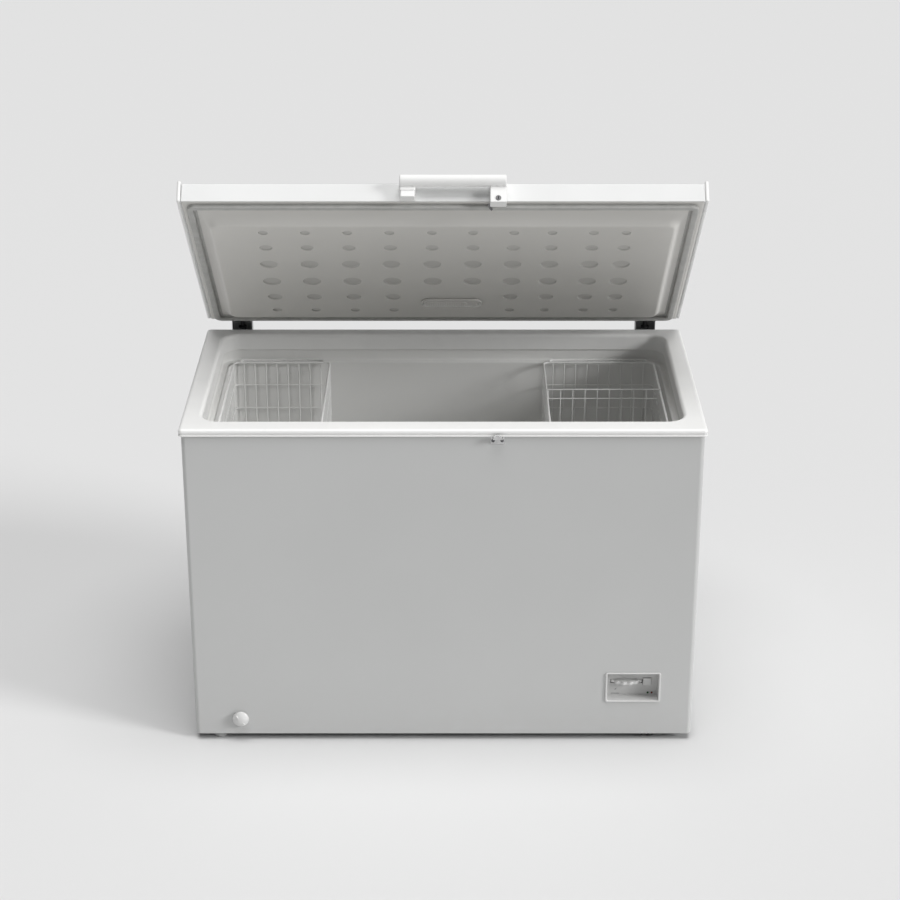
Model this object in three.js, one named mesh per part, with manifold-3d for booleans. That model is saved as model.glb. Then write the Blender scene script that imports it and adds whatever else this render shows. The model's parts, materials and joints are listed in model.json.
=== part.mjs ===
// A chest freezer with its lid open: steel cabinet on two feet and two castors, foamed walls,
// hanging wire baskets, a rear compressor compartment, and a lid on two sprung hinges.
// Millimetres, +Z up, +X to the right as seen from the front, the front faces -Y.

import * as THREE from 'three';
import { mergeVertices } from 'three/addons/utils/BufferGeometryUtils.js';
import Module from 'manifold-3d';

const wasm = await Module();
wasm.setup();

// ---- Driving dimensions -------------------------------------------------------------------

const GAP = 0.3;                    // air between pieces that touch
const SHEET = 1.2;                  // cabinet and lid sheet metal

const TRIM_WIDTH = 1115;
const TRIM_DEPTH = 615;
const TRIM_TOP = 754;               // height of the worktop above the floor
const TRIM_WALL = 3;
const TRIM_SKIRT = 16;              // outer leg of the trim
const TRIM_INNER_LEG = 38;
const TRIM_CORNER = 16;

const BODY_WIDTH = 1105;
const BODY_DEPTH = 603;
const BODY_BOTTOM = 15;
const BODY_CORNER = 10;
const BODY_HALF = BODY_WIDTH / 2;
const FRONT = -BODY_DEPTH / 2;      // outer face of the front panel
const REAR = BODY_DEPTH / 2;        // outer face of the back panel

const OPENING = { x: 513.5, front: -255.5, rear: 267.5, corner: 40 };
const TUB = { x: 503, front: -245, rear: 257, corner: 30, floor: 103, wall: 1.5 };
const LEDGE = 690;                  // the baskets hang on this shelf of the liner
const STEP = { x: 235, top: 345 };  // the liner's raised floor over the compressor
const COIL = { low: 372, high: 640, offset: 5.2, radius: 3.5 };

const COIL_X = TUB.x + TUB.wall + COIL.offset;
const SUCTION_Y = 214;              // where the suction pipe joins the coil

const BASE_HEIGHT = 42;             // underside of the floor plates
const BAY = { x: 284.8, top: 299.8 };   // compressor compartment
const FOAM_REAR = 293.2;

const PANEL = { x: 419.7, z: 134, width: 122, height: 73, depth: 22 };
const WHEEL = { x: 407.2, z: 137, radius: 45, reach: 14, thick: 8 };
const ROCKER = { x: 452.5, z: 136, width: 18, height: 16 };
const LENS_Z = 108;                 // the two indicator lamps
const FASCIA = FRONT + PANEL.depth; // bottom of the control recess
const WHEEL_Y = FASCIA - WHEEL.reach + WHEEL.radius;

const DRAIN = { x: -451, z: 56, y: -215, radius: 8 };
const LOCK = { x: 115, z: 760 };
const CATCH = { width: 30, reach: 16.2 };

const LID_WIDTH = 1109;
const LID_FRONT = -314.5;
const LID_REAR = 307.5;
const LID_LOW = TRIM_TOP + 10;
const LID_HIGH = LID_LOW + 43;
const RIM = { width: 8, rise: 5 };
const LID_HALF = LID_WIDTH / 2;
const LID_OPEN = THREE.MathUtils.degToRad(43);
const PLATEAU = { x: 500, front: -248, rear: 258, drop: 22, slope: 8, corner: 26, wall: 1.6 };
const SEAL = { inset: 11, width: 14, corner: 18 };
const LAMP = { x: 18, y: 156, width: 140, depth: 42 };

const BAR = { left: -90, right: 132, low: 786.5, high: 808.5, proud: 38, thick: 21 };

const HINGE = { x: 475, y: 325.5, z: 786, width: 47, low: 640, high: 789.5, back: 335 };
const PIN_RADIUS = 4;
const CAM_LOBE = 13;                // reach of the hinge cam with the lid shut
const CAM_FALL = 4.58;              // and what it loses for each radian of opening

const CAM_CLEARANCE = 1.6;
const PLUNGER_TOP = HINGE.z - (CAM_LOBE - CAM_FALL * LID_OPEN + CAM_CLEARANCE);
const SPRING = { low: 642, high: 752, coil: 8, wire: 1.4 };

const BASKET_LEFT = { low: -493.5, high: -264 };
const BASKET_RIGHT = { low: 231, high: 493.5 };
const BASKET = { front: -235.5, rear: 247.5, hook: 9, drop: 205, bar: 4, rim: 5 };
const RIM_LOW = LEDGE + GAP;         // underside of the basket rims
const DIVIDER_Y = 64;

const FOOT = { x: -499.5, inset: 25, radius: 16 };
const CASTOR = { x: 457, inset: 33, trail: 11, radius: 15, half: 14 };

const GLAND = { x: 330, z: 71 };     // where the supply cord would come out
const BOWL = { x: 430, y: 60, radius: 75, low: 58, high: 225 };   // the compressor's shell

// ---- Finishes -----------------------------------------------------------------------------

const finish = (color, roughness, metalness) =>
  new THREE.MeshStandardMaterial({ color, roughness, metalness });

const whiteSteel = finish(0xe9eaea, 0.35, 0.1);
const whitePlastic = finish(0xf2f2f0, 0.4, 0);
const linerWhite = finish(0xdedfdd, 0.45, 0.1);
const greyPlastic = finish(0xb4b5b3, 0.5, 0);
const sealGrey = finish(0xd4d4d0, 0.7, 0);
const zinc = finish(0x9b9d9f, 0.4, 0.9);
const darkSteel = finish(0x45474a, 0.45, 0.8);
const blackSteel = finish(0x1d1e20, 0.4, 0.5);
const blackPlastic = finish(0x2a2a2a, 0.6, 0);
const foamYellow = finish(0xe2cf95, 0.9, 0);
const copper = finish(0xb87350, 0.35, 1);
const coatedWire = finish(0xf4f4f2, 0.35, 0);
const clearWhite = finish(0xf6f7f5, 0.3, 0);
const greenLens = finish(0x3fae58, 0.3, 0);
const redLens = finish(0xc2382c, 0.3, 0);
const boardGreen = finish(0x2f6b3f, 0.6, 0);

// ---- Shape helpers ------------------------------------------------------------------------

function toSolid(geometry) {
  const bare = geometry.clone();
  bare.deleteAttribute('normal');
  bare.deleteAttribute('uv');
  const merged = mergeVertices(bare, 1e-4);
  const mesh = new wasm.Mesh({
    numProp: 3,
    vertProperties: new Float32Array(merged.attributes.position.array),
    triVerts: new Uint32Array(merged.index.array),
  });
  return new wasm.Manifold(mesh);
}

function toGeometry(solid) {
  const mesh = solid.getMesh();
  const geometry = new THREE.BufferGeometry();
  geometry.setAttribute('position', new THREE.BufferAttribute(mesh.vertProperties, 3));
  geometry.setIndex(new THREE.BufferAttribute(mesh.triVerts, 1));
  geometry.computeVertexNormals();
  return geometry;
}

function join(...geometries) {
  return toGeometry(geometries.map(toSolid).reduce((whole, next) => whole.add(next)));
}

function cut(body, ...tools) {
  return toGeometry(tools.map(toSolid).reduce((left, tool) => left.subtract(tool), toSolid(body)));
}

function box(x0, x1, y0, y1, z0, z1) {
  return new THREE.BoxGeometry(x1 - x0, y1 - y0, z1 - z0)
    .translate((x0 + x1) / 2, (y0 + y1) / 2, (z0 + z1) / 2);
}

// A rectangle with round corners, between two x and two y values.
function roundedOutline(x0, x1, y0, y1, corner) {
  const outline = new THREE.Shape();
  outline.moveTo(x0 + corner, y0);
  outline.lineTo(x1 - corner, y0);
  outline.absarc(x1 - corner, y0 + corner, corner, -Math.PI / 2, 0);
  outline.lineTo(x1, y1 - corner);
  outline.absarc(x1 - corner, y1 - corner, corner, 0, Math.PI / 2);
  outline.lineTo(x0 + corner, y1);
  outline.absarc(x0 + corner, y1 - corner, corner, Math.PI / 2, Math.PI);
  outline.lineTo(x0, y0 + corner);
  outline.absarc(x0 + corner, y0 + corner, corner, Math.PI, Math.PI * 1.5);
  return outline;
}

function prism(shape, z0, z1, curveSegments = 2) {
  return new THREE.ExtrudeGeometry(shape, { depth: z1 - z0, bevelEnabled: false, curveSegments })
    .translate(0, 0, z0);
}

function block(x0, x1, y0, y1, z0, z1, corner, curveSegments = 2) {
  return prism(roundedOutline(x0, x1, y0, y1, corner), z0, z1, curveSegments);
}

// A round-cornered block whose lower end is narrower by the slope on every side.
function taperedBlock(x, y0, y1, low, high, corner, slope) {
  const geometry = block(-x, x, y0, y1, low, high, corner);
  const middle = (y0 + y1) / 2;
  const position = geometry.attributes.position;
  for (let i = 0; i < position.count; i += 1) {
    if (position.getZ(i) > low + 0.01) continue;
    position.setX(i, position.getX(i) * (1 - slope / x));
    position.setY(i, middle + (position.getY(i) - middle) * (1 - (2 * slope) / (y1 - y0)));
  }
  return geometry;
}

// A flat outline drawn in X and Z, given a thickness from y0 to y1.
function plateXZ(shape, y0, y1, curveSegments = 3) {
  return new THREE.ExtrudeGeometry(shape, { depth: y1 - y0, bevelEnabled: false, curveSegments })
    .rotateX(Math.PI / 2)
    .translate(0, y1, 0);
}

// A flat outline drawn in Y and Z, given a thickness from x0 to x1.
function plateYZ(shape, x0, x1, curveSegments = 4) {
  return new THREE.ExtrudeGeometry(shape, { depth: x1 - x0, bevelEnabled: false, curveSegments })
    .rotateY(Math.PI / 2)
    .rotateX(Math.PI / 2)
    .translate(x0, 0, 0);
}

function rod(radius, from, to, sides = 16) {
  const start = new THREE.Vector3(...from);
  const end = new THREE.Vector3(...to);
  const geometry = new THREE.CylinderGeometry(radius, radius, start.distanceTo(end), sides);
  const turn = new THREE.Quaternion().setFromUnitVectors(
    new THREE.Vector3(0, 1, 0), end.clone().sub(start).normalize());
  return geometry.applyQuaternion(turn).translate(...start.add(end).multiplyScalar(0.5).toArray());
}

// A body turned about Z from [radius, height] points, which start and end on the axis.
function turned(points, x, y, sides = 18) {
  return new THREE.LatheGeometry(points.map(([r, z]) => new THREE.Vector2(r, z)), sides)
    .rotateX(Math.PI / 2)
    .translate(x, y, 0);
}

// A route through given points, stepped from point to point.
class Route extends THREE.Curve {
  constructor(points) {
    super();
    this.points = points.map((point) => new THREE.Vector3(...point));
  }

  getPoint(t) {
    const place = t * (this.points.length - 1);
    const index = Math.min(Math.floor(place), this.points.length - 2);
    return this.points[index].clone().lerp(this.points[index + 1], place - index);
  }

  getPointAt(u) {
    return this.getPoint(u);
  }

  getTangentAt(u) {
    const last = this.points.length - 1;
    const index = Math.round(u * last);
    const before = this.points[Math.max(index - 1, 0)];
    const here = this.points[index];
    const after = this.points[Math.min(index + 1, last)];
    const incoming = here.clone().sub(before).normalize();
    const outgoing = after.clone().sub(here).normalize();
    return incoming.add(outgoing).normalize();
  }
}

function circle(radius, sides) {
  const shape = new THREE.Shape();
  for (let i = 0; i < sides; i += 1) {
    const angle = (i / sides) * Math.PI * 2;
    shape[i ? 'lineTo' : 'moveTo'](radius * Math.cos(angle), radius * Math.sin(angle));
  }
  return shape;
}

function tube(points, radius, sides = 6) {
  const path = new Route(points);
  return new THREE.ExtrudeGeometry(circle(radius, sides), {
    steps: points.length - 1, bevelEnabled: false, extrudePath: path,
  });
}

// ---- Cabinet ------------------------------------------------------------------------------

function outerWrapper() {
  const shell = block(-BODY_HALF, BODY_HALF, FRONT, REAR + 60, BODY_BOTTOM, 741, BODY_CORNER);
  const inside = block(-BODY_HALF + SHEET, BODY_HALF - SHEET, FRONT + SHEET, REAR + 70,
    BODY_BOTTOM - 1, 742, BODY_CORNER - SHEET);
  const behind = box(-600, 600, REAR - 1.5, REAR + 80, 0, 760);
  const panelWindow = box(PANEL.x - 59, PANEL.x + 59, FRONT - 5, FRONT + 5,
    PANEL.z - 35.5, PANEL.z + 35.5);
  const drainHole = rod(DRAIN.radius + 1, [DRAIN.x, FRONT - 5, DRAIN.z], [DRAIN.x, FRONT + 5, DRAIN.z], 20);
  return cut(shell, inside, behind, panelWindow, drainHole);
}

function backPanel() {
  const sheet = box(-551, 551, REAR - SHEET, REAR, BODY_BOTTOM + 1, 741);
  const bayWindow = box(300, 540, REAR - 5, REAR + 5, 60, 285);
  return cut(sheet, bayWindow);
}

function basePlate() {
  return block(-551, 282.3, FRONT + 2, REAR - 2, BASE_HEIGHT, BASE_HEIGHT + SHEET, BODY_CORNER);
}

function compressorTray() {
  const sheet = block(283.6, 551, FRONT + 2, REAR - 2, BASE_HEIGHT, BASE_HEIGHT + 1.5, BODY_CORNER);
  const stems = [FRONT, -FRONT].map((face) => {
    const y = face + Math.sign(-face) * CASTOR.inset;
    return rod(5.4, [CASTOR.x, y, 30], [CASTOR.x, y, 60]);
  });
  return cut(sheet, ...stems);
}

function compressorBulkhead() {
  const wall = box(BAY.x - SHEET, BAY.x, FRONT + 2, 292.5, 43.8, BAY.top + SHEET);
  const roof = block(BAY.x - SHEET, 550.8, FRONT + 2, 292.5, BAY.top, BAY.top + SHEET, BODY_CORNER);
  const suctionHole = rod(6, [COIL_X, SUCTION_Y, BAY.top - 5], [COIL_X, SUCTION_Y, BAY.top + 5]);
  return cut(join(wall, roof), suctionHole);
}

// The tub's own volume grown by a margin: a main well with a step, and a wider sleeve on top.
function tubVolume(margin, low, sleeveMargin = margin) {
  const well = block(-TUB.x - margin, TUB.x + margin, TUB.front - margin, TUB.rear + margin,
    low, LEDGE + 5, TUB.corner + margin);
  const step = box(STEP.x + margin, 600, -400, 400, 0, STEP.top - margin);
  const sleeveX = OPENING.x + TRIM_WALL + GAP;
  const sleeve = block(-sleeveX - sleeveMargin, sleeveX + sleeveMargin,
    OPENING.front - TRIM_WALL - GAP - sleeveMargin, OPENING.rear + TRIM_WALL + GAP + sleeveMargin,
    LEDGE - margin, 760, OPENING.corner + sleeveMargin);
  return toSolid(well).subtract(toSolid(step)).add(toSolid(sleeve));
}

function innerLiner() {
  const top = box(-600, 600, -400, 400, 748, 800);
  const shell = tubVolume(TUB.wall, TUB.floor - TUB.wall).subtract(tubVolume(0, TUB.floor));
  const drain = rod(11, [DRAIN.x, DRAIN.y, 90], [DRAIN.x, DRAIN.y, 110], 20);
  return toGeometry(shell.subtract(toSolid(top)).subtract(toSolid(drain)));
}

function insulationFoam() {
  const margin = TUB.wall + GAP;
  const side = BODY_HALF - SHEET - GAP;
  const full = block(-side, side, FRONT + SHEET + GAP, FOAM_REAR + 60, 43.6, 750.5, BODY_CORNER - 1.5);
  const reach = TUB.wall + COIL.offset + COIL.radius + 1;
  const coil = block(-TUB.x - reach, TUB.x + reach, TUB.front - reach, TUB.rear + reach,
    COIL.low - 8, COIL.high + 8, TUB.corner + 8);
  const bay = box(BAY.x - SHEET - GAP, 600, -400, 400, 0, BAY.top + SHEET + GAP);
  const behind = box(-600, 600, FOAM_REAR, 400, 0, 800);
  const sump = rod(13, [DRAIN.x, DRAIN.y, 30], [DRAIN.x, DRAIN.y, 130], 16);
  const outlet = rod(12, [DRAIN.x, DRAIN.y, DRAIN.z], [DRAIN.x, FRONT - 20, DRAIN.z], 16);
  const suction = rod(8, [COIL_X, SUCTION_Y, 290], [COIL_X, SUCTION_Y, 380], 12);
  const filled = toSolid(full).subtract(tubVolume(margin, TUB.floor - margin, margin));
  return toGeometry([coil, bay, behind, sump, outlet, suction]
    .map(toSolid).reduce((left, tool) => left.subtract(tool), filled));
}

function topTrim() {
  const half = TRIM_WIDTH / 2;
  const deep = TRIM_DEPTH / 2;
  const outer = block(-half, half, -deep, deep, TRIM_TOP - TRIM_SKIRT, TRIM_TOP, TRIM_CORNER);
  const wallX = OPENING.x + TRIM_WALL;
  const inner = block(-wallX, wallX, OPENING.front - TRIM_WALL, OPENING.rear + TRIM_WALL,
    TRIM_TOP - TRIM_INNER_LEG, TRIM_TOP - 1, OPENING.corner + TRIM_WALL, 4);
  const channel = toSolid(block(-552.9, 552.9, FRONT - 0.4, REAR + 0.4,
    TRIM_TOP - TRIM_SKIRT - 1, TRIM_TOP - TRIM_WALL, 2))
    .subtract(toSolid(block(-wallX, wallX, OPENING.front - TRIM_WALL, OPENING.rear + TRIM_WALL,
      700, 760, OPENING.corner + TRIM_WALL, 4)));
  const opening = block(-OPENING.x, OPENING.x, OPENING.front, OPENING.rear, 700, 760, OPENING.corner, 4);
  return toGeometry(toSolid(outer).subtract(channel).add(toSolid(inner)).subtract(toSolid(opening)));
}

function lockCatch() {
  const y = FRONT - GAP;
  const x = LOCK.x;
  const half = CATCH.width / 2;
  const lip = y - CATCH.reach;
  return join(
    box(x - half, x + half, y - 1.5, y, 720, 737),
    box(x - half + 4, x + half - 4, lip, y - 1, 735.5, 737),
    box(x - 9, x + 9, lip, lip + 1.5, 735.5, 743),
    box(x - 3.5, x + 3.5, lip, lip + 1.5, 742, 746),
    box(x - 3.5, x + 3.5, lip, lip + 9, 744.5, 746));
}

function evaporatorCoil() {
  const x = COIL_X;
  const front = TUB.front - TUB.wall - COIL.offset;
  const rear = TUB.rear + TUB.wall + COIL.offset;
  const corner = TUB.corner + COIL.offset;
  const centres = [[x - corner, rear - corner, 0], [-x + corner, rear - corner, 90],
    [-x + corner, front + corner, 180], [x - corner, front + corner, 270]];
  const turns = 4;
  const points = [];
  for (let turn = 0; turn < turns; turn += 1) {
    for (const [cx, cy, start] of centres) {
      for (let step = 0; step <= 3; step += 1) {
        const angle = THREE.MathUtils.degToRad(start + step * 30);
        points.push([cx + corner * Math.cos(angle), cy + corner * Math.sin(angle)]);
      }
    }
  }
  const rise = (COIL.high - COIL.low) / (points.length - 1);
  return tube(points.map(([px, py], i) => [px, py, COIL.low + i * rise]), COIL.radius, 5);
}

function condenserCoil() {
  const y = (FOAM_REAR + REAR - SHEET) / 2;
  const reach = 470;
  const bend = 30;
  const runs = 6;
  const points = [[430, y, 326]];
  for (let run = 0; run < runs; run += 1) {
    const z = 345 + run * bend * 2;
    const side = run % 2 ? -1 : 1;
    const ends = [side * reach, -side * reach];
    points.push([ends[0], y, z], [ends[1], y, z]);
    if (run === runs - 1) continue;
    for (const degrees of [-45, 0, 45]) {
      const angle = THREE.MathUtils.degToRad(degrees);
      points.push([ends[1] - side * bend * Math.cos(angle), y, z + bend + bend * Math.sin(angle)]);
    }
  }
  return tube(points, 2.5);
}

// ---- Compressor compartment ---------------------------------------------------------------

function compressor() {
  const { x, y, radius, low, high } = BOWL;
  const bowl = turned([[0, low], [radius * 0.6, low], [radius * 0.93, low + 18], [radius, low + 40],
    [radius, high - 70], [radius * 0.92, high - 32], [radius * 0.6, high - 8], [0, high]], x, y, 18);
  const seam = turned([[0, 150], [radius + 3, 150], [radius + 3, 154], [0, 154]], x, y, 18);
  const plate = block(x - 95, x + 95, y - 62, y + 62, low - 4, low + 1, 20);
  const legs = [[-80, -48], [80, -48], [-80, 48], [80, 48]].map(([dx, dy]) =>
    rod(9, [x + dx, y + dy, BASE_HEIGHT + 1.8], [x + dx, y + dy, low - 2], 12));
  return join(bowl, seam, plate, ...legs);
}

function startRelay() {
  return block(BOWL.x - 115, BOWL.x - 79, BOWL.y - 24, BOWL.y + 24, 96, 144, 5);
}

function filterDrier() {
  return turned([[0, 84], [3, 84], [3, 92], [10, 102], [10, 168], [3, 180], [3, 190], [0, 190]],
    320, 215, 14);
}

function dischargePipe() {
  const y = (FOAM_REAR + REAR - SHEET) / 2;
  return tube([[430, 139, 190], [430, 170, 190], [430, 200, 196], [430, 230, 212], [430, 262, 240],
    [430, 286, 262], [430, y, 282], [430, y, 296], [430, y, 322.5]], 2.5);
}

function suctionPipe() {
  return tube([[509, 60, 120], [522, 60, 120], [531, 66, 122], [534, 80, 130], [534, 160, 180],
    [530, 196, 205], [518, 210, 222], [COIL_X, SUCTION_Y, 242], [COIL_X, SUCTION_Y, 367]], COIL.radius);
}

function compressorCover() {
  const sheet = plateXZ(roundedOutline(292, 548, 52, 293, 8), REAR + GAP, REAR + GAP + 2.4);
  const gland = rod(9, [GLAND.x, REAR - 5, GLAND.z], [GLAND.x, REAR + 5, GLAND.z]);
  const slots = [];
  for (let i = 0; i < 8; i += 1) {
    slots.push(box(312, 528, REAR - 5, REAR + 8, 96 + i * 24, 106 + i * 24));
  }
  return cut(sheet, gland, ...slots);
}

function cordGland() {
  const seat = REAR + 3;            // outer face of the cover, less the gap
  return turned([[0, -6], [8.6, -6], [8.6, 0], [13, 0], [13, 4], [7, 10], [0, 10]], 0, 0, 16)
    .rotateX(-Math.PI / 2)
    .translate(GLAND.x, seat, GLAND.z);
}

// ---- Controls -----------------------------------------------------------------------------

function controlBezel() {
  const { x, z, width, height } = PANEL;
  const ring = block(x - width / 2, x + width / 2, z - height / 2, z + height / 2, 0, 2.8, 4);
  const hole = box(x - 57, x + 57, z - 33.5, z + 33.5, -5, 10);
  return cut(ring, hole).rotateX(Math.PI / 2).translate(0, FRONT - GAP, 0);
}

function controlHousing() {
  const { x, z } = PANEL;
  const shell = box(x - 58.5, x + 58.5, FRONT - 0.1, FASCIA + 2, z - 35, z + 35);
  const recess = box(x - 57, x + 57, FRONT - 5, FASCIA, z - 33.5, z + 33.5);
  const wheelSlot = box(WHEEL.x - 36, WHEEL.x + 36, FASCIA - 5, FASCIA + 5,
    WHEEL.z - WHEEL.thick / 2 - 1, WHEEL.z + WHEEL.thick / 2 + 1);
  const rockerSlot = box(ROCKER.x - ROCKER.width / 2 - 0.6, ROCKER.x + ROCKER.width / 2 + 0.6,
    FASCIA - 5, FASCIA + 5, ROCKER.z - ROCKER.height / 2 - 1.4, ROCKER.z + ROCKER.height / 2 + 1.4);
  return cut(shell, recess, wheelSlot, rockerSlot);
}

function thermostatWheel() {
  const grips = 18;
  const outline = new THREE.Shape();
  const steps = grips * 4;
  for (let i = 0; i <= steps; i += 1) {
    const angle = (i / steps) * Math.PI * 2;
    const radius = WHEEL.radius - 1.4 + 1.4 * Math.cos(angle * grips);
    outline[i ? 'lineTo' : 'moveTo'](radius * Math.cos(angle), radius * Math.sin(angle));
  }
  const disc = prism(outline, -WHEEL.thick / 2, WHEEL.thick / 2);
  const bore = rod(3.4, [0, 0, -20], [0, 0, 20], 16);
  return cut(disc, bore).translate(WHEEL.x, WHEEL_Y, WHEEL.z);
}

function thermostat() {
  const bodyBox = block(WHEEL.x - 24, WHEEL.x + 24, FASCIA + 2.3, WHEEL_Y + 22, 96, 126, 3);
  const shaft = rod(3, [WHEEL.x, WHEEL_Y, 120], [WHEEL.x, WHEEL_Y, 148], 16);
  return join(bodyBox, shaft);
}

function fastFreezeSwitch() {
  const { x, z, width, height } = ROCKER;
  const profile = new THREE.Shape();
  profile.moveTo(FASCIA + 2.5, z - height / 2 + 1);
  profile.lineTo(FASCIA + 2.5, z + height / 2 - 1);
  profile.lineTo(FASCIA - 0.5, z + height / 2);
  profile.lineTo(FASCIA - 2, z);
  profile.lineTo(FASCIA - 3.6, z - height / 2);
  return plateYZ(profile, x - width / 2, x + width / 2);
}

function indicatorLens(x) {
  return turned([[0, 0], [2.3, 0], [2.3, 0.9], [1.4, 1.7], [0, 1.9]], 0, 0, 12)
    .rotateX(Math.PI / 2)
    .translate(x, FASCIA - GAP, LENS_Z);
}

// ---- Drain --------------------------------------------------------------------------------

function drainPipe() {
  const inner = [DRAIN.x, DRAIN.y, DRAIN.z];
  const outside = join(
    rod(10.5, inner, [DRAIN.x, FRONT + SHEET + 3, DRAIN.z], 16),
    rod(10.5, [DRAIN.x, DRAIN.y, DRAIN.z - 10], [DRAIN.x, DRAIN.y, 101], 16));
  return cut(outside,
    rod(8.6, [DRAIN.x, DRAIN.y - 1, DRAIN.z], [DRAIN.x, FRONT - 10, DRAIN.z], 16),
    rod(8.6, [DRAIN.x, DRAIN.y, DRAIN.z - 7], [DRAIN.x, DRAIN.y, 120], 16));
}

// The spout slides out of the pipe; the knob closes it and turns on it.
function drainSpout() {
  const sleeve = turned([[0, -40], [DRAIN.radius, -40], [DRAIN.radius, 0], [0, 0]], 0, 0, 20);
  const bore = turned([[0, -50], [5.6, -50], [5.6, 10], [0, 10]], 0, 0, 20);
  return cut(sleeve, bore).rotateX(Math.PI / 2).translate(DRAIN.x, FRONT - GAP, DRAIN.z);
}

function drainKnob() {
  return turned([[0, -12], [5.3, -12], [5.3, 0.3], [13, 0.3], [17.5, 3], [18, 7], [17, 11],
    [13, 14], [0, 15.5]], 0, 0, 20)
    .rotateX(Math.PI / 2)
    .translate(DRAIN.x, FRONT - GAP, DRAIN.z);
}

function drainPlug() {
  return turned([[0, 92], [7, 92], [7.6, 103], [16, 103.4], [16, 107], [5, 108.5], [4, 116],
    [7, 119], [5, 122], [0, 122]], DRAIN.x, DRAIN.y, 20);
}

// ---- Feet and castors ---------------------------------------------------------------------

function foot(y) {
  const { x, radius } = FOOT;
  return turned([[0, 0], [radius - 4, 0], [radius - 1, 1.5], [radius, 4.5], [radius, 8],
    [radius - 4, 12], [11, 14], [11, BASE_HEIGHT - GAP], [0, BASE_HEIGHT - GAP]], x, y, 20);
}

function castorHousing(y) {
  const { x, trail, radius } = CASTOR;
  const web = new THREE.Shape();
  web.moveTo(8, 31);
  web.lineTo(8, 37);
  web.lineTo(-trail - 8, 37);
  web.lineTo(-trail - 8, radius + 2);
  web.absarc(-trail, radius, 7, Math.PI * 0.9, Math.PI * 2.1);
  const fork = cut(plateYZ(web, -2.2, 2.2), rod(3.5, [-10, -trail, radius], [10, -trail, radius]));
  const hood = turned([[0, 32.5], [13, 32.5], [13, 36], [9, 39], [0, 39]], 0, 0, 20);
  const stem = rod(5, [0, 0, 38], [0, 0, 52], 16);
  return join(fork, hood, stem).translate(x, y, 0);
}

function castorWheels(y) {
  const { x, trail, radius, half } = CASTOR;
  const tyre = [[0, 2.6], [radius - 1.5, 2.6], [radius, 4.5], [radius, half - 2.4],
    [radius - 2.5, half], [0, half]];
  const right = new THREE.LatheGeometry(tyre.map(([r, h]) => new THREE.Vector2(r, h)), 24);
  const left = right.clone().rotateX(Math.PI);
  const axle = new THREE.CylinderGeometry(3, 3, 10, 12);
  return join(right, left, axle)
    .rotateZ(-Math.PI / 2)
    .translate(x, y - trail, radius);
}

// ---- Lid, drawn shut ----------------------------------------------------------------------

function lidOuter() {
  const side = LID_HALF - RIM.width - GAP;
  const pan = block(-side, side, LID_FRONT, LID_REAR, LID_LOW, LID_HIGH, 3);
  const hollow = block(-side + SHEET, side - SHEET, LID_FRONT + SHEET, LID_REAR - SHEET,
    LID_LOW - 5, LID_HIGH - SHEET, 2);
  return cut(pan, hollow);
}

function lidRim(side) {
  const inner = LID_HALF - RIM.width;
  const strip = block(inner, LID_HALF, LID_FRONT, LID_REAR, LID_LOW, LID_HIGH + RIM.rise, 3);
  return side > 0 ? strip : strip.translate(-inner - LID_HALF, 0, 0);
}

function lidFoam() {
  const side = LID_HALF - RIM.width - SHEET - 2 * GAP;
  const slab = block(-side, side, LID_FRONT + SHEET + GAP, LID_REAR - SHEET - GAP,
    LID_LOW + PLATEAU.wall + GAP, LID_HIGH - SHEET - GAP, 2);
  const inset = PLATEAU.wall + GAP;
  const boss = taperedBlock(PLATEAU.x - inset, PLATEAU.front + inset, PLATEAU.rear - inset,
    LID_LOW - PLATEAU.drop + inset, LID_LOW + 10, PLATEAU.corner - inset, PLATEAU.slope);
  const pocket = box(LAMP.x - 62, LAMP.x + 62, LAMP.y - 15, LAMP.y + 15, 700, LID_LOW - 4);
  return cut(join(slab, boss), pocket);
}

function lidLiner() {
  const edge = LID_HALF - RIM.width - SHEET - 2 * GAP;
  const flange = block(-edge, edge, LID_FRONT + SHEET + GAP, LID_REAR - SHEET - GAP,
    LID_LOW, LID_LOW + PLATEAU.wall, 2);
  const boss = taperedBlock(PLATEAU.x, PLATEAU.front, PLATEAU.rear,
    LID_LOW - PLATEAU.drop, LID_LOW + PLATEAU.wall, PLATEAU.corner, PLATEAU.slope);
  const inset = PLATEAU.wall;
  const hollow = taperedBlock(PLATEAU.x - inset, PLATEAU.front + inset, PLATEAU.rear - inset,
    LID_LOW - PLATEAU.drop + inset, LID_LOW + 10, PLATEAU.corner - inset, PLATEAU.slope);
  const lampHole = box(LAMP.x - 60, LAMP.x + 60, LAMP.y - 13, LAMP.y + 13, 700, LID_LOW - 10);
  return cut(join(flange, boss), hollow, lampHole);
}

function lidGasket() {
  const x = LID_HALF - RIM.width - SEAL.inset;
  const front = LID_FRONT + SEAL.inset;
  const rear = LID_REAR - SEAL.inset + 2;
  const ring = block(-x, x, front, rear, TRIM_TOP + GAP, LID_LOW - GAP, SEAL.corner);
  const inside = block(-x + SEAL.width, x - SEAL.width, front + SEAL.width, rear - SEAL.width,
    740, 780, SEAL.corner - 8);
  return cut(ring, inside);
}

function stadium(x, y, width, depth, z0, z1) {
  return block(x - width / 2, x + width / 2, y - depth / 2, y + depth / 2, z0, z1, depth / 2 - 0.5, 4);
}

function lampCover() {
  const top = LID_LOW - PLATEAU.drop - GAP;
  const lens = stadium(LAMP.x, LAMP.y, LAMP.width, LAMP.depth, top - 6, top);
  const hollow = stadium(LAMP.x, LAMP.y, LAMP.width - 5, LAMP.depth - 5, top - 4, top + 5);
  return cut(lens, hollow);
}

function lampBoard() {
  return box(LAMP.x - 56, LAMP.x + 56, LAMP.y - 11, LAMP.y + 11, 750, 752);
}

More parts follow.
